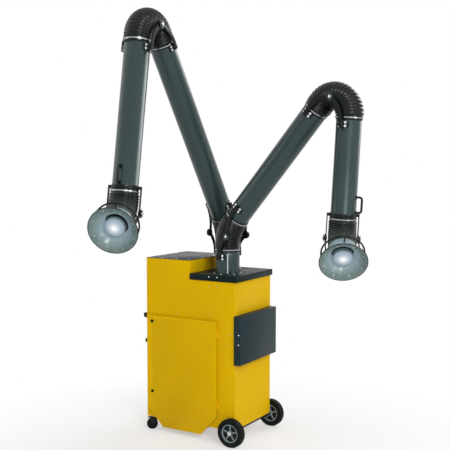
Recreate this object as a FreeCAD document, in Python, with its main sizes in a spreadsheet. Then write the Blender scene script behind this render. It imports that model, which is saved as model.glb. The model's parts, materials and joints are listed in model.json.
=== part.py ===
import FreeCAD, Part
import math
import os
import Sketcher

# Portable fume extractor on wheels with two jointed extraction arms.
# Lengths are in millimetres and angles in degrees. The object stands on z = 0.

SIZES = {
    # Place of the cabinet's front left bottom corner in the object's frame
    "cabinet_place_x": -814.0,
    "cabinet_place_y": 310.0,
    "ground_clearance": 96.0,
    # Clearances
    "cut_overrun": 5.0,
    "seat_gap": 0.3,
    "running_gap": 0.05,
    # Cabinet housing
    "cabinet_length": 700.0,
    "cabinet_width": 488.0,
    "tower_length": 355.0,
    "tower_top": 1105.5,
    "deck_top": 1018.0,
    "sheet_wall": 2.0,
    "top_flange": 22.0,
    "base_height": 75.0,
    "partition_x": 574.0,
    "partition_window": 200.0,
    "partition_window_height": 150.0,
    "gusset_side": 104.0,
    "axle_notch_gap": 1.0,
    # Tower lid
    "lid_wall": 3.0,
    "lid_overhang": 1.5,
    "lid_tray_depth": 12.0,
    # Deck cap
    "cap_wall": 3.0,
    "cap_rim_height": 40.0,
    "cap_overhang_end": 14.0,
    "cap_overhang_front": 6.0,
    # Door
    "door_left": 12.0,
    "door_right": 565.0,
    "door_top": 713.0,
    "door_shoulder": 75.0,
    "door_bottom": -56.0,
    "door_foot_left": 143.5,
    "door_foot_right": 448.0,
    "door_depth": 14.0,
    "door_stand_off": 2.0,
    "door_lap": 16.0,
    "hinge_knuckle_radius": 4.5,
    "hinge_pin_radius": 2.5,
    "hinge_height": 60.0,
    "hinge_low_z": 130.0,
    "hinge_high_z": 600.0,
    "hinge_leaf_width": 20.0,
    "hinge_leaf_wall": 2.0,
    # Door latches
    "latch_x": 56.0,
    "latch_high_z": 672.0,
    "latch_low_z": 186.0,
    "latch_head_radius": 10.0,
    "latch_head_depth": 5.0,
    "latch_shaft_radius": 7.0,
    "latch_cam_reach": 34.0,
    "latch_cam_width": 14.0,
    "latch_cam_wall": 3.0,
    "latch_slot_width": 2.0,
    # Dust hopper
    "hopper_back_space": 40.0,
    "hopper_rise": 10.0,
    # Exhaust box on the end wall
    "exhaust_depth": 47.0,
    "exhaust_low_z": 440.0,
    "exhaust_high_z": 760.0,
    "exhaust_overhang": 8.0,
    "exhaust_hole_width": 360.0,
    "exhaust_hole_height": 110.0,
    # Control panel, switch and power inlet on the other end wall
    "panel_wall": 3.0,
    "panel_low_z": 845.0,
    "panel_high_z": 1075.0,
    "panel_margin": 110.0,
    "panel_corner": 12.0,
    "switch_y": 24.0,
    "switch_z": 701.0,
    "switch_radius": 20.0,
    "switch_plate_depth": 10.0,
    "switch_knob_depth": 30.0,
    "switch_disc_depth": 10.0,
    "switch_shaft_radius": 6.0,
    "switch_grip_width": 12.0,
    "inlet_z": 526.0,
    "inlet_y": 22.0,
    "inlet_side": 24.0,
    "inlet_depth": 22.0,
    "inlet_bore_radius": 8.5,
    "inlet_bore_depth": 16.0,
    # Filter
    "filter_plate_z": 716.0,
    "filter_plate_wall": 3.0,
    "filter_centre_x": 288.0,
    "filter_radius": 162.0,
    "filter_pleat_depth": 38.0,
    "filter_core_wall": 6.0,
    "filter_length": 600.0,
    "filter_cap_height": 18.0,
    "filter_cap_margin": 4.0,
    "filter_outlet_radius": 108.0,
    # Fan
    "fan_centre_x": 178.0,
    "scroll_small_radius": 118.0,
    "scroll_growth": 14.0,
    "scroll_height": 110.0,
    "scroll_wall": 2.0,
    "scroll_outlet_reach": 150.0,
    "impeller_radius": 100.0,
    "impeller_hub_radius": 26.0,
    "impeller_eye_radius": 62.0,
    "impeller_height": 76.0,
    "impeller_wall": 3.0,
    "blade_wall": 2.5,
    "blade_arc_radius": 70.0,
    "blade_arc_sweep": 30.0,
    "blade_lean": 45.0,
    "motor_radius": 82.0,
    "motor_length": 170.0,
    "motor_flange_radius": 96.0,
    "motor_flange_wall": 8.0,
    "motor_shaft_radius": 12.0,
    "motor_fin_depth": 8.0,
    "motor_fin_wall": 4.0,
    # Big wheels and their axle
    "wheel_radius": 94.0,
    "wheel_width": 45.0,
    "wheel_from_end": 6.0,
    "wheel_stand_off": 8.0,
    "wheel_rim_radius": 60.0,
    "wheel_hub_radius": 17.0,
    "wheel_web_wall": 14.0,
    "wheel_lip_wall": 5.0,
    "wheel_pocket_radius": 9.0,
    "wheel_pocket_circle": 38.0,
    "tread_groove_width": 4.0,
    "tread_groove_depth": 3.0,
    "axle_radius": 8.0,
    "axle_cap_radius": 13.0,
    "axle_cap_wall": 4.0,
    "axle_block_side": 44.0,
    "axle_block_wall": 18.0,
    # Casters
    "caster_wheel_radius": 38.0,
    "caster_wheel_width": 24.0,
    "caster_tread_radius": 25.5,
    "caster_hub_radius": 13.0,
    "caster_hub_width": 28.0,
    "caster_wheel_x": 22.0,
    "caster_wheel_y": 26.0,
    "caster_trail": 32.0,
    "caster_turn": 36.0,
    "caster_plate_length": 92.0,
    "caster_plate_width": 74.0,
    "caster_plate_wall": 3.0,
    "caster_race_radius": 28.0,
    "caster_race_height": 6.0,
    "caster_pin_radius": 6.0,
    "caster_leg_wall": 3.0,
    "caster_leg_width": 34.0,
    "caster_axle_radius": 4.0,
    "caster_brake_length": 18.0,
    # Collars on the deck
    "flange_radius": 92.0,
    "flange_wall": 5.0,
    "flange_bolt_circle": 86.0,
    "flange_bolt_radius": 5.0,
    "flange_bolt_height": 4.0,
    "stub_radius": 74.0,
    "stub_wall": 3.0,
    "stub_height": 120.0,
    "long_collar_from_end": 244.0,
    "long_collar_y": 319.0,
    "short_collar_from_end": 110.0,
    "short_collar_y": 98.0,
    # Turret sleeve
    "sleeve_radius": 79.5,
    "sleeve_top": 140.0,
    "spigot_top": 181.0,
    # Arm tubes, pivots and hoses
    "tube_radius": 75.0,
    "tube_wall": 2.0,
    "pivot_offset": 75.0,
    "pivot_height": 258.0,
    "hose_wall": 2.0,
    "hose_rib_height": 7.0,
    "hose_cuff": 26.0,
    "shoulder_hose_start": 151.0,
    "shoulder_hose_end": 108.0,
    "elbow_radius": 110.0,
    "elbow_hose_start": 165.0,
    "elbow_hose_end": 128.0,
    "nose_hose_end": 121.0,
    "bead_width": 3.0,
    "bead_height": 2.5,
    # Arm brackets
    "bracket_face": 91.0,
    "bracket_wall": 5.0,
    "bracket_space": 0.4,
    "bracket_width": 26.0,
    "bracket_half_bend": 28.0,
    "pivot_disc_radius": 25.0,
    "pivot_pin_radius": 8.0,
    "pivot_head_radius": 13.0,
    "pivot_head_depth": 6.0,
    "foot_length": 32.0,
    "foot_height": 78.0,
    "foot_wall": 4.0,
    "shoulder_foot": 181.0,
    "elbow_foot": 182.0,
    "outer_foot": 155.0,
    "turret_foot": 117.0,
    # Grip
    "grip_length": 90.0,
    "grip_stand_off": 36.0,
    "grip_radius": 7.0,
    "grip_from_end": 102.0,
    "grip_turn": 10.0,
    # Damper in the outer tube
    "damper_from_end": 190.0,
    "damper_radius": 71.5,
    "damper_wall": 2.0,
    "damper_shaft_radius": 5.0,
    "damper_lever_length": 34.0,
    "damper_lever_width": 12.0,
    "damper_lever_wall": 4.0,
    "damper_boss_radius": 10.0,
    "damper_boss_wall": 6.0,
    # Nose
    "nose_ring_start": 46.0,
    "nose_ring_length": 18.0,
    "nose_ring_wall": 4.0,
    "nose_bend_point": 105.0,
    "nose_hose_gap": 10.0,
    # Hood
    "hood_throat_start": 98.0,
    "hood_throat_end": 150.0,
    "hood_rim_distance": 215.0,
    "hood_rim_radius": 142.0,
    "hood_wall": 3.0,
    "hood_flare_radius": 190.0,
    "hood_lip_width": 6.0,
    "ring_radius": 126.0,
    "ring_rod_radius": 5.0,
    "hood_clamp_start": 124.0,
    "hood_clamp_length": 12.0,
    "spoke_radius": 4.0,
    "lamp_radius": 52.0,
    "lamp_depth": 26.0,
    "lamp_distance": 150.0,
    "lamp_dome_height": 16.0,
    "lamp_bar_width": 12.0,
    "lamp_bar_wall": 4.0,
    # Angles and lengths of the long arm, on the left
    "long_heading": -87.44,
    "long_inner_lean": 35.60,
    "long_outer_lean": -9.19,
    "long_link": 1554.0,
    "long_outer_end": 991.0,
    "long_nose_turn": 20.5,
    "long_nose_bend": 57.0,
    # Angles and lengths of the short arm, on the right
    "short_heading": -8.57,
    "short_inner_lean": 42.29,
    "short_outer_lean": 3.58,
    "short_link": 1157.0,
    "short_outer_end": 723.0,
    "short_nose_turn": -52.2,
    "short_nose_bend": 57.0,
}

COUNTS = {
    "filter_pleats": 40,
    "impeller_blades": 10,
    "motor_fins": 16,
    "wheel_pockets": 8,
    "flange_bolts": 6,
    "hood_spokes": 3,
    "shoulder_ribs": 8,
    "elbow_ribs": 12,
    "nose_ribs": 6,
    "ribs_per_bore_span": 2,
}


class Size(float):
    """A number together with the formula that the document keeps for it."""

    def __new__(cls, value, formula):
        made = super().__new__(cls, value)
        made.formula = formula
        return made

    def __add__(self, other):
        return joined(self, "+", other, float(self) + float(other))

    def __radd__(self, other):
        return joined(other, "+", self, float(other) + float(self))

    def __sub__(self, other):
        return joined(self, "-", other, float(self) - float(other))

    def __rsub__(self, other):
        return joined(other, "-", self, float(other) - float(self))

    def __mul__(self, other):
        return joined(self, "*", other, float(self) * float(other))

    def __rmul__(self, other):
        return joined(other, "*", self, float(other) * float(self))

    def __truediv__(self, other):
        return joined(self, "/", other, float(self) / float(other))

    def __neg__(self):
        return Size(-float(self), "(-%s)" % self.formula)


def formula_of(value):
    return value.formula if isinstance(value, Size) else "%.9g" % value


def joined(left, sign, right, value):
    return Size(value, "(%s %s %s)" % (formula_of(left), sign, formula_of(right)))


def sine(angle):
    return Size(math.sin(math.radians(angle)), "sin(%s)" % formula_of(angle))


def cosine(angle):
    return Size(math.cos(math.radians(angle)), "cos(%s)" % formula_of(angle))


def tangent(angle):
    return sine(angle) / cosine(angle)


def root(value):
    return Size(math.sqrt(value), "sqrt(%s)" % formula_of(value))


doc = FreeCAD.newDocument("FumeExtractor")
sheet = doc.addObject("Spreadsheet::Sheet", "Sizes")


def fill_sheet():
    """Write every driving size to the sheet and return them by name."""
    held = {}
    rows = list(SIZES.items()) + list(COUNTS.items())
    for row, (name, value) in enumerate(rows, start=1):
        sheet.set("A%d" % row, name)
        sheet.set("B%d" % row, "%g" % value)
        sheet.setAlias("B%d" % row, name)
    doc.recompute()
    for name in SIZES:
        held[name] = Size(float(sheet.get(name)), "Sizes.%s" % name)
    return held


S = fill_sheet()
Z_AXIS = FreeCAD.Vector(0, 0, 1)
Y_AXIS = FreeCAD.Vector(0, 1, 0)
X_AXIS = FreeCAD.Vector(1, 0, 0)
ORIGIN = FreeCAD.Vector()
FULL_TURN = 360
HALF_TURN = 180
QUARTER_TURN = 90
HEXAGON = 60
UPRIGHT = FreeCAD.Rotation(X_AXIS, QUARTER_TURN)
ALONG_Y = FreeCAD.Rotation(X_AXIS, -QUARTER_TURN)
ALONG_X = FreeCAD.Rotation(Y_AXIS, QUARTER_TURN)
TO_THE_LEFT = FreeCAD.Rotation(Y_AXIS, -QUARTER_TURN)
NO_TURN = FreeCAD.Rotation()
ARM_SIDES = ("long", "short")
sub_parts = []


def bind(item, prop, value):
    """Give a property its value, bound to the sheet where a formula is known."""
    if isinstance(value, Size):
        item.setExpression(prop, value.formula)
    elif not prop.startswith("Placement"):
        setattr(item, prop, value)


def placed(item, base, turn=NO_TURN):
    item.Placement = FreeCAD.Placement(ORIGIN, turn)
    for axis, value in zip("xyz", base):
        bind(item, "Placement.Base." + axis, value)
    return item


def box(name, length, width, height, base=(0, 0, 0), turn=NO_TURN):
    item = doc.addObject("Part::Box", name)
    bind(item, "Length", length)
    bind(item, "Width", width)
    bind(item, "Height", height)
    return placed(item, base, turn)


def cylinder(name, radius, height, base=(0, 0, 0), turn=NO_TURN, sweep=FULL_TURN):
    item = doc.addObject("Part::Cylinder", name)
    bind(item, "Radius", radius)
    bind(item, "Height", height)
    bind(item, "Angle", sweep)
    return placed(item, base, turn)


def fuse(name, pieces):
    item = doc.addObject("Part::MultiFuse", name)
    item.Shapes = pieces
    item.Refine = True
    return item


def common(name, first, second):
    item = doc.addObject("Part::Common", name)
    item.Base = first
    item.Tool = second
    return item


def cut(name, base, tools):
    """Take one or several tools away from a base."""
    item = doc.addObject("Part::Cut", name)
    item.Base = base
    item.Tool = tools[0] if len(tools) == 1 else fuse(name + "_tools", tools)
    return item


def group(name, pieces):
    """Separate solids that share one sub-part."""
    item = doc.addObject("Part::Compound", name)
    item.Links = pieces
    return item


def tube(name, outer, inner, height, base=(0, 0, 0), turn=NO_TURN):
    """A pipe whose bore overruns both ends."""
    body = cylinder(name + "_outside", outer, height, base, turn)
    step = turn.multVec(Z_AXIS)
    over = S["cut_overrun"]
    start = [value - over * round(part) if round(part) else value for value, part in zip(base, step)]
    bore = cylinder(name + "_bore", inner, height + 2 * over, start, turn)
    return cut(name, body, [bore])


def finish(item, label, place=None):
    item.Label = label
    item.Placement = place if place is not None else CABINET_PLACE
    sub_parts.append(item)
    return item


def plane_of(body, role):
    return next(item for item in body.Origin.OriginFeatures if item.Role == role)


def arc_between(start, end, radius):
    """The short arc of a signed radius: positive keeps its centre on the left."""
    middle = (start + end) / 2
    half = (end - start).Length / 2
    left = FreeCAD.Vector(start.y - end.y, end.x - start.x, 0).normalize()
    rise = math.sqrt(float(radius) ** 2 - half ** 2) * math.copysign(1, radius)
    centre = middle + left * rise
    first, last = (start, end) if radius > 0 else (end, start)
    angles = [math.atan2(p.y - centre.y, p.x - centre.x) for p in (first, last)]
    circle = Part.Circle(centre, Z_AXIS, abs(float(radius)))
    return Part.ArcOfCircle(circle, angles[0], angles[1])


def draw_outline(sketch, points, radii):
    """Closed outline whose corners are held by distances bound to the sheet."""
    corners = [FreeCAD.Vector(float(x), float(y), 0) for x, y in points]
    count = len(corners)
    starts = []
    for i in range(count):
        j = (i + 1) % count
        if i in radii:
            sketch.addGeometry(arc_between(corners[i], corners[j], radii[i]))
            starts.append((1, 2) if radii[i] > 0 else (2, 1))
        else:
            sketch.addGeometry(Part.LineSegment(corners[i], corners[j]))
            starts.append((1, 2))
    for i in range(count):
        j = (i + 1) % count
        sketch.addConstraint(Sketcher.Constraint("Coincident", i, starts[i][1], j, starts[j][0]))
    for i, (x, y) in enumerate(points):
        hold(sketch, i, starts[i][0], "DistanceX", x, -2)
        hold(sketch, i, starts[i][0], "DistanceY", y, -1)
    for i, radius in radii.items():
        size = radius if radius > 0 else -radius
        index = sketch.addConstraint(Sketcher.Constraint("Radius", i, float(size)))
        sketch.setExpression("Constraints[%d]" % index, formula_of(size))


def hold(sketch, edge, end, kind, value, axis):
    if value == 0:
        sketch.addConstraint(Sketcher.Constraint("PointOnObject", edge, end, axis))
        return
    rule = Sketcher.Constraint(kind, -1, 1, edge, end, float(value))
    index = sketch.addConstraint(rule)
    sketch.setExpression("Constraints[%d]" % index, formula_of(value))


def sketch_in(body, role, name, points, radii):
    sketch = body.newObject("Sketcher::SketchObject", name)
    sketch.AttachmentSupport = (plane_of(body, role), [""])
    sketch.MapMode = "FlatFace"
    draw_outline(sketch, points, radii)
    return sketch


def padded(name, points, height, base=(0, 0, 0), turn=NO_TURN, radii=None, corner=None):
    """A flat outline given thickness; corner rounds the upright edges."""
    body = doc.addObject("PartDesign::Body", name)
    sketch = sketch_in(body, "XY_Plane", name + "_outline", points, radii or {})
    pad = body.newObject("PartDesign::Pad", name + "_pad")
    pad.Profile = sketch
    bind(pad, "Length", height)
    if corner is not None:
        doc.recompute()
        upright = [
            "Edge%d" % (i + 1)
            for i, edge in enumerate(pad.Shape.Edges)
            if abs(edge.Vertexes[0].Z - edge.Vertexes[-1].Z) > float(height) / 2
        ]
        rounding = body.newObject("PartDesign::Fillet", name + "_corners")
        rounding.Base = (pad, upright)
        bind(rounding, "Radius", corner)
    return placed(body, base, turn)


def revolved(name, points, base=(0, 0, 0), turn=NO_TURN, radii=None):
    """A profile of (radius, height) points turned about its upright axis."""
    body = doc.addObject("PartDesign::Body", name)
    sketch = sketch_in(body, "XZ_Plane", name + "_profile", points, radii or {})
    turned = body.newObject("PartDesign::Revolution", name + "_turned")
    turned.Profile = sketch
    turned.ReferenceAxis = (sketch, ["V_Axis"])
    turned.Angle = FULL_TURN
    return placed(body, base, turn)


def rectangle(left, low, right, high):
    return [(left, low), (right, low), (right, high), (left, high)]


def hex_bolt(name, radius, height, base, turn=NO_TURN):
    """Six-sided bolt head."""
    item = doc.addObject("Part::Prism", name)
    item.Polygon = 6
    bind(item, "Circumradius", radius)
    bind(item, "Height", height)
    return placed(item, base, turn)


CABINET_PLACE = FreeCAD.Placement(
    FreeCAD.Vector(S["cabinet_place_x"], S["cabinet_place_y"], S["ground_clearance"]), NO_TURN
)


def funnel_outline(inset, top):
    """The six-cornered door outline drawn in by an inset, up to a given height."""
    drop = S["door_shoulder"] - S["door_bottom"]
    lean_left = (S["door_foot_left"] - S["door_left"]) / drop
    lean_right = (S["door_right"] - S["door_foot_right"]) / drop
    reach_left = root(lean_left * lean_left + 1)
    reach_right = root(lean_right * lean_right + 1)
    left = S["door_left"] + inset
    right = S["door_right"] - inset
    bottom = S["door_bottom"] + inset
    return [
        (left, S["door_shoulder"] + inset * (reach_left - 1) / lean_left),
        (S["door_foot_left"] + inset * (reach_left - lean_left), bottom),
        (S["door_foot_right"] - inset * (reach_right - lean_right), bottom),
        (right, S["door_shoulder"] + inset * (reach_right - 1) / lean_right),
        (right, top),
        (left, top),
    ]


def upright_pad(name, points, front, depth, radii=None):
    """An outline drawn in X and Z, filled from the front towards the back."""
    return padded(name, points, depth, (0, front + depth, 0), UPRIGHT, radii)


def wheel_x():
    return S["cabinet_length"] - S["wheel_from_end"]


def axle_height():
    return S["wheel_radius"] - S["ground_clearance"]


def cabinet_shell():
    """Folded housing: tall tower, lower deck, skirt, base panel and partition."""
    wall = S["sheet_wall"]
    long, wide, tower = S["cabinet_length"], S["cabinet_width"], S["tower_length"]
    over = S["cut_overrun"]
    tower_wall_top = S["tower_top"] - S["lid_wall"]
    deck_wall_top = S["deck_top"] - S["cap_wall"]
    base = S["base_height"]
    flange = S["top_flange"]
    outside = fuse("shell_outside", [
        box("deck_block", long, wide, deck_wall_top),
        box("tower_block", tower, wide, tower_wall_top),
    ])
    inside = [
        box("filter_space", S["partition_x"] - wall, wide - 2 * wall, deck_wall_top - base - 2 * wall,
            (wall, wall, base + wall)),
        box("duct_space", long - S["partition_x"] - 2 * wall, wide - 2 * wall,
            deck_wall_top - base - 2 * wall, (S["partition_x"] + wall, wall, base + wall)),
        box("fan_space", tower - 2 * wall, wide - 2 * wall, tower_wall_top - base - 3 * wall,
            (wall, wall, base + 2 * wall)),
        box("skirt_space", long - 2 * wall, wide - 2 * wall, base + over, (wall, wall, -over)),
        box("tower_opening", tower - 2 * flange, wide - 2 * flange, wall + 2 * over,
            (flange, flange, tower_wall_top - wall - over)),
        box("deck_opening", long - tower - 2 * flange, wide - 2 * flange, wall + 2 * over,
            (tower + flange, flange, deck_wall_top - wall - over)),
        box("partition_window", wall + 2 * over, S["partition_window"], S["partition_window_height"],
            (S["partition_x"] - over, (wide - S["partition_window"]) / 2,
             deck_wall_top - S["partition_window_height"] - flange)),
        box("exhaust_window", wall + 2 * over, S["exhaust_hole_width"], S["exhaust_hole_height"],
            (long - wall - over, (wide - S["exhaust_hole_width"]) / 2,
             S["exhaust_high_z"] - S["exhaust_hole_height"] - flange)),
        upright_pad("door_opening", funnel_outline(S["door_lap"], S["door_top"] - S["door_lap"]),
                    -over, wall + 2 * over),
        upright_pad("hopper_opening", funnel_outline(S["door_lap"], base + wall + over),
                    wall, wide - 2 * wall - S["hopper_back_space"]),
        cylinder("axle_notches", S["axle_radius"] + S["axle_notch_gap"], wide + 2 * over,
                 (wheel_x(), -over, axle_height()), ALONG_Y),
    ]
    hollow = cut("shell_hollow", outside, inside)
    side = S["gusset_side"]
    gussets = [
        box("front_gusset", side, side, wall),
        box("back_gusset", side, side, wall, (0, wide - side, 0)),
    ]
    finish(fuse("shell", [hollow] + gussets), "cabinet_shell")


def tower_lid():
    """Screwed lid with a shallow tray that locates it in the tower's opening."""
    wall, over = S["lid_wall"], S["lid_overhang"]
    plate = box("lid_plate", S["tower_length"] + 2 * over, S["cabinet_width"] + 2 * over, wall,
                (-over, -over, S["tower_top"] - wall))
    inset = S["top_flange"] + S["seat_gap"]
    tray_length = S["tower_length"] - 2 * inset
    tray_width = S["cabinet_width"] - 2 * inset
    depth = S["lid_tray_depth"]
    tray = box("lid_tray", tray_length, tray_width, depth, (inset, inset, S["tower_top"] - wall - depth))
    hollow = box("lid_tray_hollow", tray_length - 2 * wall, tray_width - 2 * wall, depth,
                 (inset + wall, inset + wall, S["tower_top"] - wall - depth))
    finish(fuse("lid", [plate, cut("lid_tray_ring", tray, [hollow])]), "tower_lid")


def collar_place(side):
    return S["cabinet_length"] - S[side + "_collar_from_end"], S[side + "_collar_y"]


def collar_places():
    return [collar_place(side) for side in ARM_SIDES]


def deck_cap():
    """Dark top plate whose rim hangs over the housing, with two duct holes."""
    wall, end, front = S["cap_wall"], S["cap_overhang_end"], S["cap_overhang_front"]
    left = S["tower_length"] + S["lid_overhang"] + S["seat_gap"]
    length = S["cabinet_length"] + end - left
    width = S["cabinet_width"] + 2 * front
    low = S["deck_top"] - S["cap_rim_height"]
    over = S["cut_overrun"]
    block = box("cap_block", length, width, S["cap_rim_height"], (left, -front, low))
    hollow = box("cap_hollow", length - wall + over, width - 2 * wall, S["cap_rim_height"] - wall + over,
                 (left - over, wall - front, low - over))
    bores = [
        cylinder("cap_hole", S["stub_radius"] - S["stub_wall"], wall + 2 * over,
                 (x, y, S["deck_top"] - wall - over))
        for x, y in collar_places()
    ]
    finish(cut("cap", block, [hollow] + bores), "deck_cap")


def deck_flanges():
    """Two bolted flanges whose stubs carry the turrets."""
    outer, inner = S["stub_radius"], S["stub_radius"] - S["stub_wall"]
    profile = [
        (inner, 0),
        (S["flange_radius"], 0),
        (S["flange_radius"], S["flange_wall"]),
        (outer, S["flange_wall"]),
        (outer, S["stub_height"]),
        (inner, S["stub_height"]),
    ]
    pieces = []
    for x, y in collar_places():
        pieces.append(revolved("flange", profile, (x, y, S["deck_top"])))
        for i in range(COUNTS["flange_bolts"]):
            angle = FULL_TURN * (i + 1 / 2) / COUNTS["flange_bolts"]
            reach = S["flange_bolt_circle"]
            pieces.append(hex_bolt("flange_bolt", S["flange_bolt_radius"], S["flange_bolt_height"], (
                x + reach * cosine(angle), y + reach * sine(angle), S["deck_top"] + S["flange_wall"])))
    finish(group("flanges", pieces), "deck_flanges")


def dust_hopper():
    """Funnel-shaped trough under the filter, open to the door and upwards."""
    wall, gap = S["sheet_wall"], S["seat_gap"]
    inset = S["door_lap"] + gap
    depth = S["cabinet_width"] - S["hopper_back_space"] - 2 * wall - 2 * gap
    top = S["base_height"] + wall + S["hopper_rise"]
    outer = upright_pad("hopper_outside", funnel_outline(inset, top), gap, depth)
    inner = upright_pad("hopper_inside", funnel_outline(inset + wall, top + S["cut_overrun"]),
                        -S["cut_overrun"], depth + S["cut_overrun"] + gap - wall)
    finish(cut("hopper", outer, [inner]), "dust_hopper")


def exhaust_box():
    """Baffle box over the outlet, open towards the housing and at the bottom."""
    wall, over = S["sheet_wall"], S["cut_overrun"]
    low, high = S["exhaust_low_z"], S["exhaust_high_z"]
    width = S["cabinet_width"] + S["exhaust_overhang"]
    block = box("exhaust_block", S["exhaust_depth"], width, high - low,
                (S["cabinet_length"], -S["exhaust_overhang"], low))
    tall = high - low - wall + over
    hollow = box("exhaust_hollow", S["exhaust_depth"] - wall + over, width - 2 * wall, tall,
                 (S["cabinet_length"] - over, wall - S["exhaust_overhang"], low - over))
    finish(cut("exhaust", block, [hollow]), "exhaust_box")


def control_panel():
    """Plate with rounded corners on the tower's end wall."""
    wide = S["cabinet_width"] - 2 * S["panel_margin"]
    tall = S["panel_high_z"] - S["panel_low_z"]
    turn = FreeCAD.Rotation(-Y_AXIS, Z_AXIS, -X_AXIS, "ZXY")
    plate = padded("panel", rectangle(0, 0, wide, tall), S["panel_wall"],
                   (0, S["cabinet_width"] - S["panel_margin"], S["panel_low_z"]), turn,
                   corner=S["panel_corner"])
    finish(group("panel_group", [plate]), "control_panel")


def main_switch():
    """Rotary main switch: knob with a grip bar on a round base."""
    gap, plate = S["seat_gap"], S["switch_plate_depth"]
    radius, shaft = S["switch_radius"], S["switch_shaft_radius"]
    knob, disc, grip_width = S["switch_knob_depth"], S["switch_disc_depth"], S["switch_grip_width"]
    y, z = S["switch_y"], S["switch_z"]
    base = tube("switch_base", radius, shaft + S["running_gap"], plate, (0, y, z), TO_THE_LEFT)
    collar = fuse("switch_knob", [
        cylinder("switch_disc", radius, disc, (-plate - gap, y, z), TO_THE_LEFT),
        cylinder("switch_shaft", shaft, plate + gap, (0, y, z), TO_THE_LEFT),
        box("switch_grip", knob - disc, grip_width, 2 * radius - grip_width,
            (-plate - gap - knob, y - grip_width / 2, z - radius + grip_width / 2)),
    ])
    finish(collar, "main_switch")
    return base


def power_inlet(switch_base):
    """Appliance inlet on the end wall, beside the fixed base of the switch."""
    side, depth = S["inlet_side"], S["inlet_depth"]
    body = box("inlet_body", depth, side, side, (-depth, S["inlet_y"] - side / 2, S["inlet_z"] - side / 2))
    bore = cylinder("inlet_bore", S["inlet_bore_radius"], S["inlet_bore_depth"] + S["cut_overrun"],
                    (S["inlet_bore_depth"] - depth, S["inlet_y"], S["inlet_z"]), TO_THE_LEFT)
    finish(group("inlet", [cut("inlet_hollow", body, [bore]), switch_base]), "power_inlet")


def filter_plate():
    """Plate that carries the filter, with its outlet hole."""
    wall, gap, over = S["sheet_wall"], S["seat_gap"], S["cut_overrun"]
    thick, z = S["filter_plate_wall"], S["filter_plate_z"]
    plate = box("filter_plate_sheet", S["partition_x"] - wall - 2 * gap,
                S["cabinet_width"] - 2 * wall - 2 * gap, thick, (wall + gap, wall + gap, z))
    hole = cylinder("filter_plate_hole", S["filter_outlet_radius"], thick + 2 * over,
                    (S["filter_centre_x"], S["cabinet_width"] / 2, z - over))
    finish(cut("filter_plate_holed", plate, [hole]), "filter_plate")


def pleat_pack(length):
    """Star of pleats round a cylindrical bore."""
    count = COUNTS["filter_pleats"]
    outer = float(S["filter_radius"])
    inner = outer - float(S["filter_pleat_depth"])
    corners = []
    for i in range(2 * count):
        angle = math.pi * i / count
        radius = outer if i % 2 else inner
        corners.append(FreeCAD.Vector(radius * math.cos(angle), radius * math.sin(angle), 0))
    star = Part.Face(Part.makePolygon(corners + corners[:1]))
    bore = Part.makeCylinder(inner - float(S["filter_core_wall"]), float(length))
    return star.extrude(Z_AXIS * float(length)).cut(bore)


def filter_cartridge():
    """Pleated cartridge that hangs from the filter plate by its open top cap."""
    cap = S["filter_cap_height"]
    top = S["filter_plate_z"] - S["seat_gap"]
    low = top - S["filter_length"]
    rim = S["filter_radius"] + S["filter_cap_margin"]
    place = (S["filter_centre_x"], S["cabinet_width"] / 2)
    pack = doc.addObject("Part::Feature", "pleats")
    pack.Shape = pleat_pack(S["filter_length"] - 2 * cap)
    placed(pack, (*place, low + cap))
    bottom = cylinder("filter_bottom_cap", rim, cap, (*place, low))
    head = tube("filter_top_cap", rim, S["filter_outlet_radius"], cap, (*place, top - cap))
    finish(group("filter", [pack, bottom, head]), "filter_cartridge")


def scroll_solid(name, grow, low, height):
    """Spiral of four quarter discs whose centres step round a small square."""
    step = S["scroll_growth"]
    x, y = S["fan_centre_x"], S["cabinet_width"] / 2
    corners = [(1, -1), (-1, -1), (-1, 1), (1, 1)]
    pieces = []
    for i, (right, back) in enumerate(corners):
        radius = S["scroll_small_radius"] + step * i - grow
        turn = FreeCAD.Rotation(Z_AXIS, -QUARTER_TURN * i)
        centre = (x + step / 2 * right, y + step / 2 * back, low)
        pieces.append(cylinder(name + "_quarter", radius, height, centre, turn, QUARTER_TURN))
    pieces.append(box(name + "_centre", step, step, height, (x - step / 2, y - step / 2, low)))
    return fuse(name, pieces)


def fan_scroll():
    """Spiral fan housing with its eye over the filter's outlet."""
    wall = S["scroll_wall"]
    low = S["filter_plate_z"] + S["filter_plate_wall"] + S["seat_gap"]
    x, y = S["fan_centre_x"], S["cabinet_width"] / 2
    over = S["cut_overrun"]
    outside = scroll_solid("scroll_outside", 0, low, S["scroll_height"])
    inside = scroll_solid("scroll_inside", wall, low + wall, S["scroll_height"] - 2 * wall)
    eye = cylinder("scroll_eye", S["impeller_eye_radius"], wall + 2 * over, (x, y, low - over))
    shaft_hole = cylinder("scroll_shaft_hole", S["motor_shaft_radius"] + S["cut_overrun"], wall + 2 * over,
                          (x, y, low + S["scroll_height"] - wall - over))
    step = S["scroll_growth"]
    mouth_low = S["scroll_small_radius"] - step / 2
    mouth_high = S["scroll_small_radius"] + step * 7 / 2
    outlet = box("scroll_outlet", S["scroll_outlet_reach"], mouth_high - mouth_low - wall,
                 S["scroll_height"] - 2 * wall, (x, y + mouth_low, low + wall))
    duct = box("scroll_duct", S["scroll_outlet_reach"] - over - step / 2, mouth_high - mouth_low + wall,
               S["scroll_height"], (x + step / 2, y + mouth_low - wall, low))
    body = fuse("scroll_body", [outside, duct])
    finish(cut("scroll", body, [inside, eye, shaft_hole, outlet]), "fan_scroll")


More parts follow.
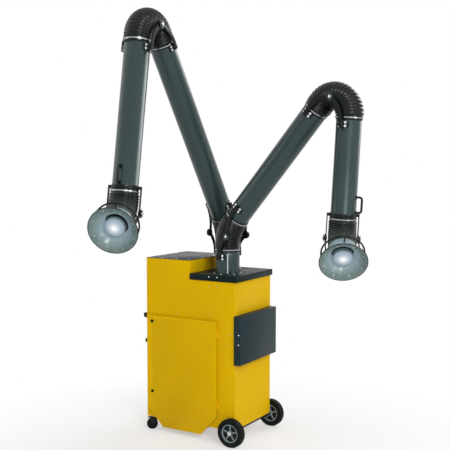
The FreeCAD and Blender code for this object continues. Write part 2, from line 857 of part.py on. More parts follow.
def impeller():
    """Backward curved impeller: back plate, eye ring, hub and blades."""
    wall = S["impeller_wall"]
    x, y = S["fan_centre_x"], S["cabinet_width"] / 2
    low = (S["filter_plate_z"] + S["filter_plate_wall"] + S["seat_gap"]
           + (S["scroll_height"] - S["impeller_height"]) / 2)
    high = low + S["impeller_height"]
    pieces = [
        cylinder("impeller_back", S["impeller_radius"], wall, (x, y, high - wall)),
        tube("impeller_ring", S["impeller_radius"], S["impeller_eye_radius"], wall, (x, y, low)),
        cylinder("impeller_hub", S["impeller_hub_radius"], S["impeller_height"] / 2,
                 (x, y, high - S["impeller_height"] / 2)),
    ]
    middle = float(S["impeller_eye_radius"] + S["impeller_radius"]) / 2
    curve, sweep = S["blade_arc_radius"], S["blade_arc_sweep"]
    tall, over = S["impeller_height"] - wall, S["cut_overrun"]
    for i in range(COUNTS["impeller_blades"]):
        angle = math.radians(FULL_TURN * i / COUNTS["impeller_blades"])
        outside = cylinder("blade_outside", curve, tall, (0, 0, 0), NO_TURN, sweep)
        band = cut("blade_band", outside, [cylinder("blade_inside", curve - S["blade_wall"], tall)])
        offset = FreeCAD.Vector(middle * math.cos(angle), middle * math.sin(angle), 0)
        turn = FreeCAD.Rotation(Z_AXIS, math.degrees(angle) + float(S["blade_lean"]))
        half_sweep = FreeCAD.Rotation(Z_AXIS, float(sweep) / 2)
        hub = offset - turn.multVec(half_sweep.multVec(X_AXIS)) * float(curve)
        band.Placement = FreeCAD.Placement(hub + FreeCAD.Vector(x, y, low + wall / 2), turn)
        pieces.append(band)
    bore = cylinder("impeller_bore", S["motor_shaft_radius"] + S["running_gap"],
                    S["impeller_height"] + 2 * over, (x, y, low - over))
    finish(cut("impeller_turned", fuse("impeller_pieces", pieces), [bore]), "impeller")


def fan_motor():
    """Flanged motor on the scroll, with cooling fins and a shaft into the impeller."""
    x, y = S["fan_centre_x"], S["cabinet_width"] / 2
    low = S["filter_plate_z"] + S["filter_plate_wall"] + 2 * S["seat_gap"] + S["scroll_height"]
    radius, length = S["motor_radius"], S["motor_length"]
    flange, fin = S["motor_flange_wall"], S["motor_fin_wall"]
    cowl = length / 4
    shaft_drop = (S["scroll_height"] + S["impeller_height"]) / 2
    pieces = [
        cylinder("motor_flange", S["motor_flange_radius"], flange, (x, y, low)),
        cylinder("motor_core", radius - S["motor_fin_depth"], length, (x, y, low)),
        cylinder("motor_shaft", S["motor_shaft_radius"], shaft_drop + flange, (x, y, low - shaft_drop)),
        cylinder("motor_cowl", radius, cowl, (x, y, low + length - cowl)),
    ]
    for i in range(COUNTS["motor_fins"]):
        angle = FULL_TURN * i / COUNTS["motor_fins"]
        corner = (x + fin / 2 * sine(angle), y - fin / 2 * cosine(angle), low + flange / 2)
        turn = FreeCAD.Rotation(Z_AXIS, angle)
        pieces.append(box("motor_fin", radius, fin, length - flange, corner, turn))
    finish(fuse("motor", pieces), "fan_motor")


def hinge_spots():
    return [S["hinge_low_z"], S["hinge_high_z"]]


def hinge_axis():
    """Hinge line beside the door's edge, in front of the housing."""
    reach = S["hinge_knuckle_radius"] + S["seat_gap"]
    return S["door_right"] + reach, -reach


def filter_door():
    """Folded door pan with its half of each hinge."""
    wall, depth, back = S["sheet_wall"], S["door_depth"], -S["door_stand_off"]
    outer = upright_pad("door_outside", funnel_outline(0, S["door_top"]), back - depth, depth)
    inner = upright_pad("door_inside", funnel_outline(wall, S["door_top"] - wall),
                        back - depth + wall, depth - wall + S["cut_overrun"])
    x, y = hinge_axis()
    half = S["hinge_height"] / 2
    holes = [
        cylinder("latch_hole", S["latch_shaft_radius"] + S["running_gap"], wall + 2 * S["cut_overrun"],
                 (S["latch_x"], back - depth - S["cut_overrun"], z), ALONG_Y)
        for z in (S["latch_low_z"], S["latch_high_z"])
    ]
    panel = cut("door_panel", outer, [inner] + holes)
    pieces = [panel]
    for z in hinge_spots():
        knuckle = tube("door_knuckle", S["hinge_knuckle_radius"], S["hinge_pin_radius"] + S["running_gap"],
                       half - S["seat_gap"], (x, y, z + half + S["seat_gap"]))
        leaf = box("door_leaf", S["hinge_leaf_width"], S["hinge_leaf_wall"], half - S["seat_gap"],
                   (x - S["hinge_leaf_width"], y - S["hinge_knuckle_radius"], z + half + S["seat_gap"]))
        pin_room = cylinder("door_pin_room", S["hinge_pin_radius"] + S["running_gap"], S["hinge_height"],
                            (x, y, z + S["cut_overrun"]))
        pieces.append(cut("door_hinge", fuse("door_hinge_pieces", [knuckle, leaf]), [pin_room]))
    finish(fuse("door", pieces), "filter_door")


def door_hinges():
    """Fixed leaves on the housing with their pins."""
    x, y = hinge_axis()
    half = S["hinge_height"] / 2
    wall = S["hinge_leaf_wall"]
    pieces = []
    for z in hinge_spots():
        knuckle = cylinder("fixed_knuckle", S["hinge_knuckle_radius"], half, (x, y, z))
        leaf = box("fixed_leaf", S["hinge_leaf_width"], -y, half, (x, y, z))
        trim = box("fixed_leaf_room", S["hinge_leaf_width"], -y - wall, half + 2 * S["cut_overrun"],
                   (x + S["hinge_knuckle_radius"], y, z - S["cut_overrun"]))
        pin = cylinder("hinge_pin", S["hinge_pin_radius"], S["hinge_height"] - S["seat_gap"], (x, y, z))
        pieces.append(fuse("fixed_hinge", [knuckle, cut("fixed_leaf_cut", leaf, [trim]), pin]))
    finish(group("hinges", pieces), "door_hinges")


def door_latch(label, z):
    """Quarter-turn latch: slotted head, shaft through the door and cam inside its pan."""
    x = S["latch_x"]
    face = -S["door_stand_off"] - S["door_depth"]
    gap = S["seat_gap"]
    width, wall, reach = S["latch_cam_width"], S["latch_cam_wall"], S["latch_cam_reach"]
    cam_y = -S["door_stand_off"] - wall
    radius, deep, slot_width = S["latch_head_radius"], S["latch_head_depth"], S["latch_slot_width"]
    outside = face - gap - deep
    head = cylinder("latch_head", radius, deep, (x, outside, z), ALONG_Y)
    slot = box("latch_slot", slot_width, deep / 2, 2 * radius, (x - slot_width / 2, outside, z - radius))
    shaft = cylinder("latch_shaft", S["latch_shaft_radius"], cam_y - face + gap,
                     (x, face - gap, z), ALONG_Y)
    cam = box("latch_cam", width, wall, reach + width / 2, (x - width / 2, cam_y, z - width / 2))
    finish(fuse("latch", [cut("latch_head_slotted", head, [slot]), shaft, cam]), label)


def big_wheel_places():
    """Outer face side and inner face of each big wheel."""
    out = S["wheel_stand_off"]
    return [
        ("front_wheel", -out - S["wheel_width"]),
        ("back_wheel", S["cabinet_width"] + out),
    ]


def wheel_tyre(label, y):
    """Solid rubber tyre with two tread grooves."""
    half = S["wheel_width"]
    radius, rim = S["wheel_radius"], S["wheel_rim_radius"]
    groove, deep = S["tread_groove_width"], S["tread_groove_depth"]
    shoulder = 2 * deep
    third = half / 3
    profile = [
        (rim, 0),
        (radius - shoulder, 0),
        (radius, shoulder),
        (radius, third - groove / 2),
        (radius - deep, third - groove / 2),
        (radius - deep, third + groove / 2),
        (radius, third + groove / 2),
        (radius, 2 * third - groove / 2),
        (radius - deep, 2 * third - groove / 2),
        (radius - deep, 2 * third + groove / 2),
        (radius, 2 * third + groove / 2),
        (radius, half - shoulder),
        (radius - shoulder, half),
        (rim, half),
    ]
    centre = (wheel_x(), y, axle_height())
    finish(group("tyre_group", [revolved("tyre", profile, centre, ALONG_Y)]), label)


def wheel_rim(label, y):
    """Rim with hub, dished web and a ring of pockets."""
    wide, rim = S["wheel_width"], S["wheel_rim_radius"] - S["seat_gap"]
    hub, lip = S["wheel_hub_radius"], S["wheel_lip_wall"]
    bore = S["axle_radius"] + S["running_gap"]
    low = (wide - S["wheel_web_wall"]) / 2
    high = low + S["wheel_web_wall"]
    profile = [
        (bore, 0), (hub, 0), (hub, low), (rim - lip, low), (rim - lip, 0), (rim, 0),
        (rim, wide), (rim - lip, wide), (rim - lip, high), (hub, high), (hub, wide), (bore, wide),
    ]
    body = revolved("rim", profile)
    pockets = []
    for i in range(COUNTS["wheel_pockets"]):
        angle = FULL_TURN * i / COUNTS["wheel_pockets"]
        reach = S["wheel_pocket_circle"]
        pockets.append(cylinder("rim_pocket", S["wheel_pocket_radius"], wide,
                                (reach * cosine(angle), reach * sine(angle), 0)))
    holed = cut("rim_holed", body, pockets)
    turned = group("rim_group", [holed])
    centre = FreeCAD.Vector(wheel_x(), y, axle_height())
    finish(turned, label, CABINET_PLACE.multiply(FreeCAD.Placement(centre, ALONG_Y)))


def wheel_axle():
    """Axle with end caps and the two blocks that hold it inside the skirt."""
    x, z = wheel_x(), axle_height()
    out = S["wheel_stand_off"] + S["wheel_width"] + S["seat_gap"]
    wide = S["cabinet_width"]
    rod = fuse("axle", [
        cylinder("axle_rod", S["axle_radius"], wide + 2 * out, (x, -out, z), ALONG_Y),
        cylinder("axle_front_cap", S["axle_cap_radius"], S["axle_cap_wall"],
                 (x, -out - S["axle_cap_wall"], z), ALONG_Y),
        cylinder("axle_back_cap", S["axle_cap_radius"], S["axle_cap_wall"], (x, wide + out, z), ALONG_Y),
    ])
    side, thick = S["axle_block_side"], S["axle_block_wall"]
    left = S["cabinet_length"] - S["sheet_wall"] - S["seat_gap"] - side
    blocks = []
    for y in (S["sheet_wall"] + S["seat_gap"], wide - S["sheet_wall"] - S["seat_gap"] - thick):
        block = box("axle_block", side, thick, S["base_height"] - z + side / 4 - S["seat_gap"],
                    (left, y, z - side / 4))
        over = S["cut_overrun"]
        bore = cylinder("axle_block_bore", S["axle_radius"] + S["running_gap"], thick + 2 * over,
                        (x, y - over, z), ALONG_Y)
        blocks.append(cut("axle_block_bored", block, [bore]))
    finish(group("axle_group", [rod] + blocks), "wheel_axle")


def caster_spots():
    """Kingpin of each caster and the turn of its fork about it."""
    turn = S["caster_turn"]
    dx = S["caster_trail"] * cosine(turn)
    dy = S["caster_trail"] * sine(turn)
    x = S["caster_wheel_x"] + dx
    return [
        ("front_caster", x, S["caster_wheel_y"] + dy, HALF_TURN + turn),
        ("back_caster", x, S["cabinet_width"] - S["caster_wheel_y"] - dy, HALF_TURN - turn),
    ]


def caster_place(x, y, turn):
    """Frame at the kingpin under the plate, with X along the trail."""
    spin = FreeCAD.Rotation(Z_AXIS, float(turn))
    drop = -S["caster_plate_wall"] - S["seat_gap"]
    return CABINET_PLACE.multiply(FreeCAD.Placement(FreeCAD.Vector(x, y, drop), spin))


def caster_plates():
    """Top plates with the upper race and kingpin of each caster."""
    pieces = []
    for name, x, y, turn in caster_spots():
        length, width, wall = S["caster_plate_length"], S["caster_plate_width"], S["caster_plate_wall"]
        top = -S["seat_gap"]
        plate = box(name + "_plate", length, width, wall, (x - length / 2, y - width / 2, top - wall))
        race = cylinder(name + "_race", S["caster_race_radius"], S["caster_race_height"] / 2,
                        (x, y, top - wall - S["caster_race_height"] / 2))
        pin = cylinder(name + "_pin", S["caster_pin_radius"], S["caster_race_height"] + 2 * wall,
                       (x, y, top - wall - S["caster_race_height"] - 2 * wall))
        pieces.append(fuse(name + "_top", [plate, race, pin]))
    finish(group("caster_tops", pieces), "caster_plates")


def caster_fork(label, place):
    """Lower race, two legs, axle and a brake pedal, in the kingpin's frame."""
    wall, race = S["caster_leg_wall"], S["caster_race_height"]
    wheel_z = S["caster_wheel_radius"] - S["ground_clearance"] + S["caster_plate_wall"] + S["seat_gap"]
    half = S["caster_hub_width"] / 2 + S["seat_gap"]
    top = -race / 2 - S["seat_gap"]
    leg = S["caster_leg_width"]
    crown_low = top - race / 2 - wall
    reach = S["caster_trail"] + leg / 2
    pieces = [
        cylinder("fork_race", S["caster_race_radius"], race / 2 + wall, (0, 0, crown_low)),
        box("fork_crown", reach, 2 * half + 2 * wall, wall, (0, -half - wall, crown_low)),
        cylinder("fork_axle", S["caster_axle_radius"], 2 * half + 2 * wall,
                 (S["caster_trail"], -half - wall, wheel_z), ALONG_Y),
    ]
    for y in (-half - wall, half):
        points = [
            (-S["caster_race_radius"] / 2, 0),
            (S["caster_trail"] - leg / 4, wheel_z - crown_low - leg / 4),
            (S["caster_trail"] + leg / 4, wheel_z - crown_low - leg / 4),
            (reach, 0),
        ]
        pieces.append(padded("fork_leg", points, wall, (0, y + wall, crown_low), UPRIGHT))
    pedal = box("fork_pedal", S["caster_brake_length"], 2 * half, wall,
                (reach - wall, -half, crown_low - wall))
    pieces.append(pedal)
    pin_room = cylinder("fork_pin_room", S["caster_pin_radius"] + S["running_gap"], 2 * race + 4 * wall,
                        (0, 0, crown_low - race))
    finish(cut("fork", fuse("fork_pieces", pieces), [pin_room]), label, place)


def caster_wheel(label, place):
    """Wheel with hub and bore, in the kingpin's frame."""
    wheel_z = S["caster_wheel_radius"] - S["ground_clearance"] + S["caster_plate_wall"] + S["seat_gap"]
    radius, wide = S["caster_wheel_radius"], S["caster_wheel_width"]
    hub, hub_wide = S["caster_hub_radius"], S["caster_hub_width"]
    edge = (hub_wide - wide) / 2
    dish = 2 * edge
    tread = S["caster_tread_radius"]
    bore = S["caster_axle_radius"] + S["running_gap"]
    profile = [
        (bore, 0), (hub, 0), (hub, dish), (tread, dish), (tread, edge), (radius - edge, edge),
        (radius, dish), (radius, hub_wide - dish), (radius - edge, hub_wide - edge),
        (tread, hub_wide - edge), (tread, hub_wide - dish), (hub, hub_wide - dish),
        (hub, hub_wide), (bore, hub_wide),
    ]
    wheel = revolved("caster_wheel", profile, (S["caster_trail"], -hub_wide / 2, wheel_z), ALONG_Y)
    finish(group("caster_wheel_group", [wheel]), label, place)


def frame_of(x_axis, y_axis, z_axis, origin=ORIGIN):
    return FreeCAD.Placement(origin, FreeCAD.Rotation(x_axis, y_axis, z_axis, "ZXY"))


def arm_frames(side):
    """Frames of an arm's links: X along the tube, Y along the pivots."""
    lean, outer_lean = S[side + "_inner_lean"], S[side + "_outer_lean"]
    collar = FreeCAD.Vector(*collar_place(side), S["deck_top"])
    heading = FreeCAD.Rotation(Z_AXIS, float(S[side + "_heading"]))
    turret = CABINET_PLACE.multiply(FreeCAD.Placement(collar, heading))
    shoulder = FreeCAD.Vector(S["pivot_offset"], 0, S["pivot_height"])
    rise = FreeCAD.Rotation(Y_AXIS, float(lean) - QUARTER_TURN)
    inner = turret.multiply(FreeCAD.Placement(shoulder, rise))
    elbow = FreeCAD.Vector(S[side + "_link"], 0, 0)
    fold = FreeCAD.Rotation(Y_AXIS, HALF_TURN + float(outer_lean) - float(lean))
    outer = inner.multiply(FreeCAD.Placement(elbow, fold))
    end = FreeCAD.Vector(S[side + "_outer_end"], 0, S["pivot_offset"])
    turn = math.radians(float(S[side + "_nose_turn"]))
    nose = outer.multiply(frame_of(
        FreeCAD.Vector(0, math.sin(turn), math.cos(turn)),
        FreeCAD.Vector(0, -math.cos(turn), math.sin(turn)), X_AXIS, end))
    bend = FreeCAD.Rotation(Y_AXIS, float(S[side + "_nose_bend"]))
    hood = nose.multiply(FreeCAD.Placement(Z_AXIS * float(S["nose_bend_point"]), bend))
    return {"turret": turret, "inner": inner, "outer": outer, "nose": nose, "hood": hood}


def far_face():
    """Inner face of the bracket that lies outside the other at a pivot."""
    return S["bracket_face"] + S["bracket_wall"] + S["bracket_space"]


def arc_band(name, u, v, face):
    """Curved strip from the pivot to the foot, between two arcs."""
    half_bend = S["bracket_half_bend"]
    chord = root(u * u + v * v)
    radius = chord / (2 * sine(half_bend))
    lean = math.degrees(math.atan2(v, u))
    swing = math.radians(lean - QUARTER_TURN)
    depth = float(radius) * math.cos(math.radians(half_bend))
    centre_x = float(u) / 2 + depth * math.cos(swing)
    centre_z = float(v) / 2 + depth * math.sin(swing)
    start = lean + QUARTER_TURN + float(half_bend)
    turn = FreeCAD.Rotation(Y_AXIS, -start).multiply(ALONG_Y)
    outside = cylinder(name + "_outer_arc", radius + S["bracket_width"] / 2, S["bracket_wall"],
                       (0, 0, 0), NO_TURN, 2 * half_bend)
    inside = cylinder(name + "_inner_arc", radius - S["bracket_width"] / 2, S["bracket_wall"])
    band = cut(name, outside, [inside])
    band.Placement = FreeCAD.Placement(FreeCAD.Vector(centre_x, face, centre_z), turn)
    return band


def bracket(name, u, v, radius, face, length, side):
    """Curved bracket from a pivot at the origin to a saddle foot on a tube along X."""
    wall, gap = S["bracket_wall"], S["seat_gap"]
    reach = radius + S["foot_wall"]
    tall = S["foot_height"]
    ring = tube(name + "_saddle", reach, radius + gap, length, (u - length / 2, 0, v), ALONG_X)
    window = box(name + "_window", length, reach, tall, (u - length / 2, 0, v - tall / 2))
    saddle = common(name + "_foot", ring, window)
    riser = box(name + "_riser", length, face + wall - radius - S["foot_wall"] / 2, S["bracket_width"],
                (u - length / 2, radius + S["foot_wall"] / 2, v - S["bracket_width"] / 2))
    disc = cylinder(name + "_disc", S["pivot_disc_radius"], wall, (0, face, 0), ALONG_Y)
    if v > 0:
        strip = arc_band(name + "_strip", u, v, face)
    else:
        strip = box(name + "_strip", u, wall, S["bracket_width"], (0, face, -S["bracket_width"] / 2))
    solid = fuse(name + "_body", [saddle, riser, disc, strip])
    hole = cylinder(name + "_hole", S["pivot_pin_radius"] + S["running_gap"], wall + 2 * S["cut_overrun"],
                    (0, face - S["cut_overrun"], 0), ALONG_Y)
    made = cut(name, solid, [hole])
    return mirrored(made) if side < 0 else made


def mirrored(item):
    """The same piece on the other side of the arm's middle plane."""
    made = doc.addObject("Part::Mirroring", item.Name + "_mirrored")
    made.Source = item
    made.Normal = Y_AXIS
    return made


def pivot_pin(name, side):
    """Headed pin that holds two bracket discs together."""
    start = S["bracket_face"] - S["bracket_space"]
    end = far_face() + S["bracket_wall"] + S["bracket_space"]
    inner_head = S["bracket_wall"] / 2
    made = fuse(name, [
        cylinder(name + "_shank", S["pivot_pin_radius"], end - start, (0, start, 0), ALONG_Y),
        cylinder(name + "_inner_head", S["pivot_head_radius"], inner_head,
                 (0, start - inner_head, 0), ALONG_Y),
        cylinder(name + "_outer_head", S["pivot_head_radius"], S["pivot_head_depth"], (0, end, 0), ALONG_Y),
    ])
    return mirrored(made) if side < 0 else made


def bracket_pair(name, u, v, radius, face, length, pins, place):
    """Brackets on both sides of one pivot, with their pins where they hold them."""
    made = []
    for side in (1, -1):
        made.append(bracket(name, u, v, radius, face, length, side))
        if pins:
            made.append(pivot_pin(name + "_pin", side))
    pair = group(name + "_pair", made)
    pair.Placement = place
    return pair


def path_point(distance, first, radius, turn):
    """Placement on a path that runs straight, round an arc, and straight again."""
    if distance <= first:
        return FreeCAD.Placement(Z_AXIS * distance, NO_TURN)
    angle = min((distance - first) / radius, turn)
    past = distance - first - radius * angle
    spot = FreeCAD.Vector(radius * (1 - math.cos(angle)), 0, first + radius * math.sin(angle))
    heading = FreeCAD.Vector(math.sin(angle), 0, math.cos(angle))
    return FreeCAD.Placement(spot + heading * past, FreeCAD.Rotation(Y_AXIS, math.degrees(angle)))


RIB_SHARES = ((0.3, 1), (0.7, 1), (1, 0))


def ribbed_hose(name, first, radius, turn, last, ribs):
    """Hose with plain cuffs and ribs, its bore open, along an arc with straight ends."""
    first, radius, last = float(first), float(radius), float(last)
    turn = math.radians(float(turn))
    bore = float(S["tube_radius"] + S["seat_gap"])
    valley = bore + float(S["hose_wall"])
    crest = valley + float(S["hose_rib_height"])
    cuff = float(S["hose_cuff"])
    total = first + radius * turn + last
    pitch = (total - 2 * cuff) / ribs

    def ring(distance, size):
        wire = Part.Wire(Part.makeCircle(size))
        seam = FreeCAD.Placement(ORIGIN, FreeCAD.Rotation(Z_AXIS, QUARTER_TURN))
        wire.Placement = path_point(distance, first, radius, turn).multiply(seam)
        return wire

    outside = [ring(0, valley), ring(cuff, valley)]
    inside = [ring(0, bore), ring(cuff, bore)]
    for i in range(ribs):
        start = cuff + pitch * i
        for along, up in RIB_SHARES:
            outside.append(ring(start + pitch * along, valley + (crest - valley) * up))
        if (i + 1) % COUNTS["ribs_per_bore_span"] == 0:
            inside.append(ring(start + pitch, bore))
    outside.append(ring(total, valley))
    inside.append(ring(total, bore))
    solid = Part.makeLoft(outside, True, True).cut(Part.makeLoft(inside, True, True))
    item = doc.addObject("Part::Feature", name)
    item.Shape = solid
    return item


def turret(side, frames):
    """Sleeve that turns on its stub, with the spigot for the shoulder hose."""
    inside = S["stub_radius"] + S["running_gap"]
    low = S["flange_wall"] + S["seat_gap"]
    ledge = S["stub_height"] + S["seat_gap"]
    bore = S["tube_radius"] - S["tube_wall"]
    profile = [
        (inside, low), (S["sleeve_radius"], low), (S["sleeve_radius"], S["sleeve_top"]),
        (S["tube_radius"], S["sleeve_top"]), (S["tube_radius"], S["spigot_top"]),
        (bore, S["spigot_top"]), (bore, ledge), (inside, ledge),
    ]
    sleeve = revolved(side + "_sleeve", profile)
    finish(group(side + "_sleeve_group", [sleeve]), side + "_arm_turret", frames["turret"])


def turret_brackets(side, frames):
    place = frame_of(-Z_AXIS, -Y_AXIS, -X_AXIS, FreeCAD.Vector(S["pivot_offset"], 0, S["pivot_height"]))
    pair = bracket_pair(side + "_turret_bracket", S["pivot_height"] - S["turret_foot"], S["pivot_offset"],
                        S["sleeve_radius"], far_face(), S["foot_length"], True, place)
    finish(group(side + "_turret_brackets", [pair]), side + "_arm_turret_brackets", frames["turret"])


def shoulder_reach(side):
    """Distance from the spigot's top to the point where the two axes cross."""
    half = tangent(S[side + "_inner_lean"] / 2)
    return S["pivot_height"] + S["pivot_offset"] * half - S["spigot_top"], half


def shoulder_hose(side, frames):
    reach, half = shoulder_reach(side)
    arc_end = reach - S["pivot_offset"] * half
    hose = ribbed_hose(side + "_shoulder", S["spigot_top"] - S["shoulder_hose_start"], reach / half,
                       S[side + "_inner_lean"], S["shoulder_hose_end"] - arc_end, COUNTS["shoulder_ribs"])
    start = FreeCAD.Placement(Z_AXIS * float(S["shoulder_hose_start"]), NO_TURN)
    finish(hose, side + "_arm_shoulder_hose", frames["turret"].multiply(start))


def inner_tube(side, frames):
    start = S["shoulder_hose_end"] - S["hose_cuff"]
    end = S[side + "_link"] - S["elbow_hose_start"] + S["hose_cuff"]
    pipe = tube(side + "_inner_pipe", S["tube_radius"], S["tube_radius"] - S["tube_wall"], end - start,
                (start, 0, S["pivot_offset"]), ALONG_X)
    finish(group(side + "_inner_pipe_group", [pipe]), side + "_arm_inner_tube", frames["inner"])


def inner_brackets(side, frames):
    face, length = S["bracket_face"], S["foot_length"]
    low = bracket_pair(side + "_shoulder_bracket", S["shoulder_foot"], S["pivot_offset"], S["tube_radius"],
                       face, length, False, FreeCAD.Placement())
    place = frame_of(-X_AXIS, -Y_AXIS, Z_AXIS, X_AXIS * float(S[side + "_link"]))
    high = bracket_pair(side + "_elbow_bracket", S["elbow_foot"], S["pivot_offset"], S["tube_radius"],
                        face, length, False, place)
    finish(group(side + "_inner_brackets", [low, high]), side + "_arm_inner_brackets", frames["inner"])


def elbow_hose(side, frames):
    """Hose over the elbow, bent about a point near the pivot."""
    opening = S[side + "_inner_lean"] - S[side + "_outer_lean"]
    bend_start = (S["elbow_radius"] - S["pivot_offset"]) / tangent(opening / 2)
    hose = ribbed_hose(side + "_elbow", S["elbow_hose_start"] - bend_start, S["elbow_radius"],
                       HALF_TURN - opening, S["elbow_hose_end"] - bend_start, COUNTS["elbow_ribs"])
    start = FreeCAD.Vector(S[side + "_link"] - S["elbow_hose_start"], 0, S["pivot_offset"])
    finish(hose, side + "_arm_elbow_hose", frames["inner"].multiply(FreeCAD.Placement(start, ALONG_X)))


def damper_spot(side):
    return S[side + "_outer_end"] - S["damper_from_end"]


def outer_tube(side, frames):
    """Outer tube with a bead above the nose ring and a boss for the damper."""
    start = S["elbow_hose_end"] - S["hose_cuff"]
    end = S[side + "_outer_end"]
    axis = S["pivot_offset"]
    radius, over = S["tube_radius"], S["cut_overrun"]
    bead_start = end - S["nose_ring_start"] - S["seat_gap"] - S["bead_width"]
    outside = fuse(side + "_outer_outside", [
        cylinder(side + "_outer_pipe", radius, end - start, (start, 0, axis), ALONG_X),
        cylinder(side + "_outer_bead", radius + S["bead_height"], S["bead_width"],
                 (bead_start, 0, axis), ALONG_X),
        cylinder(side + "_damper_boss", S["damper_boss_radius"], radius + S["damper_boss_wall"],
                 (damper_spot(side), 0, axis - radius - S["damper_boss_wall"])),
    ])
    bore = cylinder(side + "_outer_bore", radius - S["tube_wall"], end - start + 2 * over,
                    (start - over, 0, axis), ALONG_X)
    hole = cylinder(side + "_damper_hole", S["damper_shaft_radius"] + S["running_gap"], radius,
                    (damper_spot(side), 0, axis - radius - S["damper_boss_wall"] - over))
    finish(cut(side + "_outer", outside, [bore, hole]), side + "_arm_outer_tube", frames["outer"])


def outer_brackets(side, frames):
    pair = bracket_pair(side + "_outer_bracket", S["outer_foot"], S["pivot_offset"], S["tube_radius"],
                        far_face(), S["foot_length"], True, FreeCAD.Placement())
    finish(group(side + "_outer_brackets", [pair]), side + "_arm_outer_brackets", frames["outer"])


def grip(side, frames):
    """Bowed handle on the outer tube."""
    rod, half = S["grip_radius"], S["grip_length"] / 2
    seat = S["tube_radius"] + S["seat_gap"]
    rise = S["grip_stand_off"]
    made = fuse(side + "_grip", [
        cylinder(side + "_grip_bar", rod, 2 * half, (-half, 0, seat + rise), ALONG_X),
        cylinder(side + "_grip_low_post", rod, rise, (half, 0, seat)),
        cylinder(side + "_grip_high_post", rod, rise, (-half, 0, seat)),
        doc_sphere(side + "_grip_low_corner", rod, (half, 0, seat + rise)),
        doc_sphere(side + "_grip_high_corner", rod, (-half, 0, seat + rise)),
    ])
    spot = FreeCAD.Vector(S[side + "_outer_end"] - S["grip_from_end"], 0, S["pivot_offset"])
    turn = FreeCAD.Rotation(X_AXIS, -float(S["grip_turn"]))
    finish(made, side + "_arm_grip", frames["outer"].multiply(FreeCAD.Placement(spot, turn)))


def doc_sphere(name, radius, base):
    item = doc.addObject("Part::Sphere", name)
    bind(item, "Radius", radius)
    return placed(item, base)


def damper(side, frames):
    """Butterfly plate on a shaft with a lever outside the tube, shown open."""
    radius, wall = S["damper_radius"], S["damper_wall"]
    seat = S["tube_radius"] + S["damper_boss_wall"] + S["seat_gap"]
    lever_wall, width = S["damper_lever_wall"], S["damper_lever_width"]
    made = fuse(side + "_damper", [
        cylinder(side + "_damper_plate", radius, wall, (0, -wall / 2, 0), ALONG_Y),
        cylinder(side + "_damper_shaft", S["damper_shaft_radius"], seat + radius, (0, 0, -seat)),
        box(side + "_damper_lever", S["damper_lever_length"], width, lever_wall,
            (-width / 2, -width / 2, -seat - lever_wall)),
    ])
    spot = FreeCAD.Vector(damper_spot(side), 0, S["pivot_offset"])
    finish(made, side + "_arm_damper", frames["outer"].multiply(FreeCAD.Placement(spot, NO_TURN)))


def nose_yoke(side, frames):
    """Ring that turns on the outer tube's end, with two ears down to the tilt pivots."""
    inside = S["tube_radius"] + S["running_gap"]
    outside = inside + S["nose_ring_wall"]
    length = S["nose_ring_length"]
    ring = tube(side + "_nose_ring", outside, inside, length, (0, 0, -S["nose_ring_start"]))
    place = frame_of(-Z_AXIS, -Y_AXIS, -X_AXIS, Z_AXIS * float(S["nose_bend_point"]))
    reach = S["nose_bend_point"] + S["nose_ring_start"] - length / 2
    strip = S["bracket_width"]
    ears = []
    for turn in (1, -1):
        base = S["bracket_face"] if turn > 0 else -S["bracket_face"] - S["bracket_wall"]
        riser_base = inside + S["nose_ring_wall"] / 2
        riser_length = S["bracket_face"] + S["bracket_wall"] - riser_base
        riser = riser_base if turn > 0 else -riser_base - riser_length
        ears += [
            box(side + "_ear_strip", reach + length / 2, S["bracket_wall"], strip, (0, base, -strip / 2)),
            box(side + "_ear_riser", length, riser_length, strip, (reach - length / 2, riser, -strip / 2)),
            cylinder(side + "_ear_disc", S["pivot_disc_radius"], S["bracket_wall"], (0, base, 0), ALONG_Y),
        ]
    arms = fuse(side + "_ears", ears)
    hole = cylinder(side + "_ear_hole", S["pivot_pin_radius"] + S["running_gap"], 2 * far_face(),
                    (0, -far_face(), 0), ALONG_Y)
    drilled = cut(side + "_ears_drilled", arms, [hole])
    drilled.Placement = place
    finish(fuse(side + "_yoke", [ring, drilled]), side + "_arm_nose_yoke", frames["nose"])


def nose_hose(side, frames):
    bend = S[side + "_nose_bend"]
    reach = S["nose_bend_point"] - S["nose_hose_gap"]
    hose = ribbed_hose(side + "_nose", S["hose_cuff"] + S["nose_hose_gap"], reach / tangent(bend / 2),
                       bend, S["nose_hose_end"] - reach, COUNTS["nose_ribs"])
    start = FreeCAD.Placement(-Z_AXIS * float(S["hose_cuff"]), NO_TURN)
    finish(hose, side + "_arm_nose_hose", frames["nose"].multiply(start))


def hood(side, frames):
    """Flared dish with a throat for the hose and a flat rim."""
    wall, radius = S["hood_wall"], S["tube_radius"]
    low, neck, rim_z = S["hood_throat_start"], S["hood_throat_end"], S["hood_rim_distance"]
    rim, lip = S["hood_rim_radius"], S["hood_lip_width"]
    profile = [
        (radius - wall, low), (radius, low), (radius, neck),
        (rim - lip, rim_z - lip), (rim, rim_z - lip), (rim, rim_z),
        (rim - lip - wall, rim_z), (radius - wall, neck + wall),
    ]
    curve = S["hood_flare_radius"]
    made = revolved(side + "_dish", profile, radii={2: -curve, 6: curve + wall})
    finish(group(side + "_dish_group", [made]), side + "_arm_hood", frames["hood"])


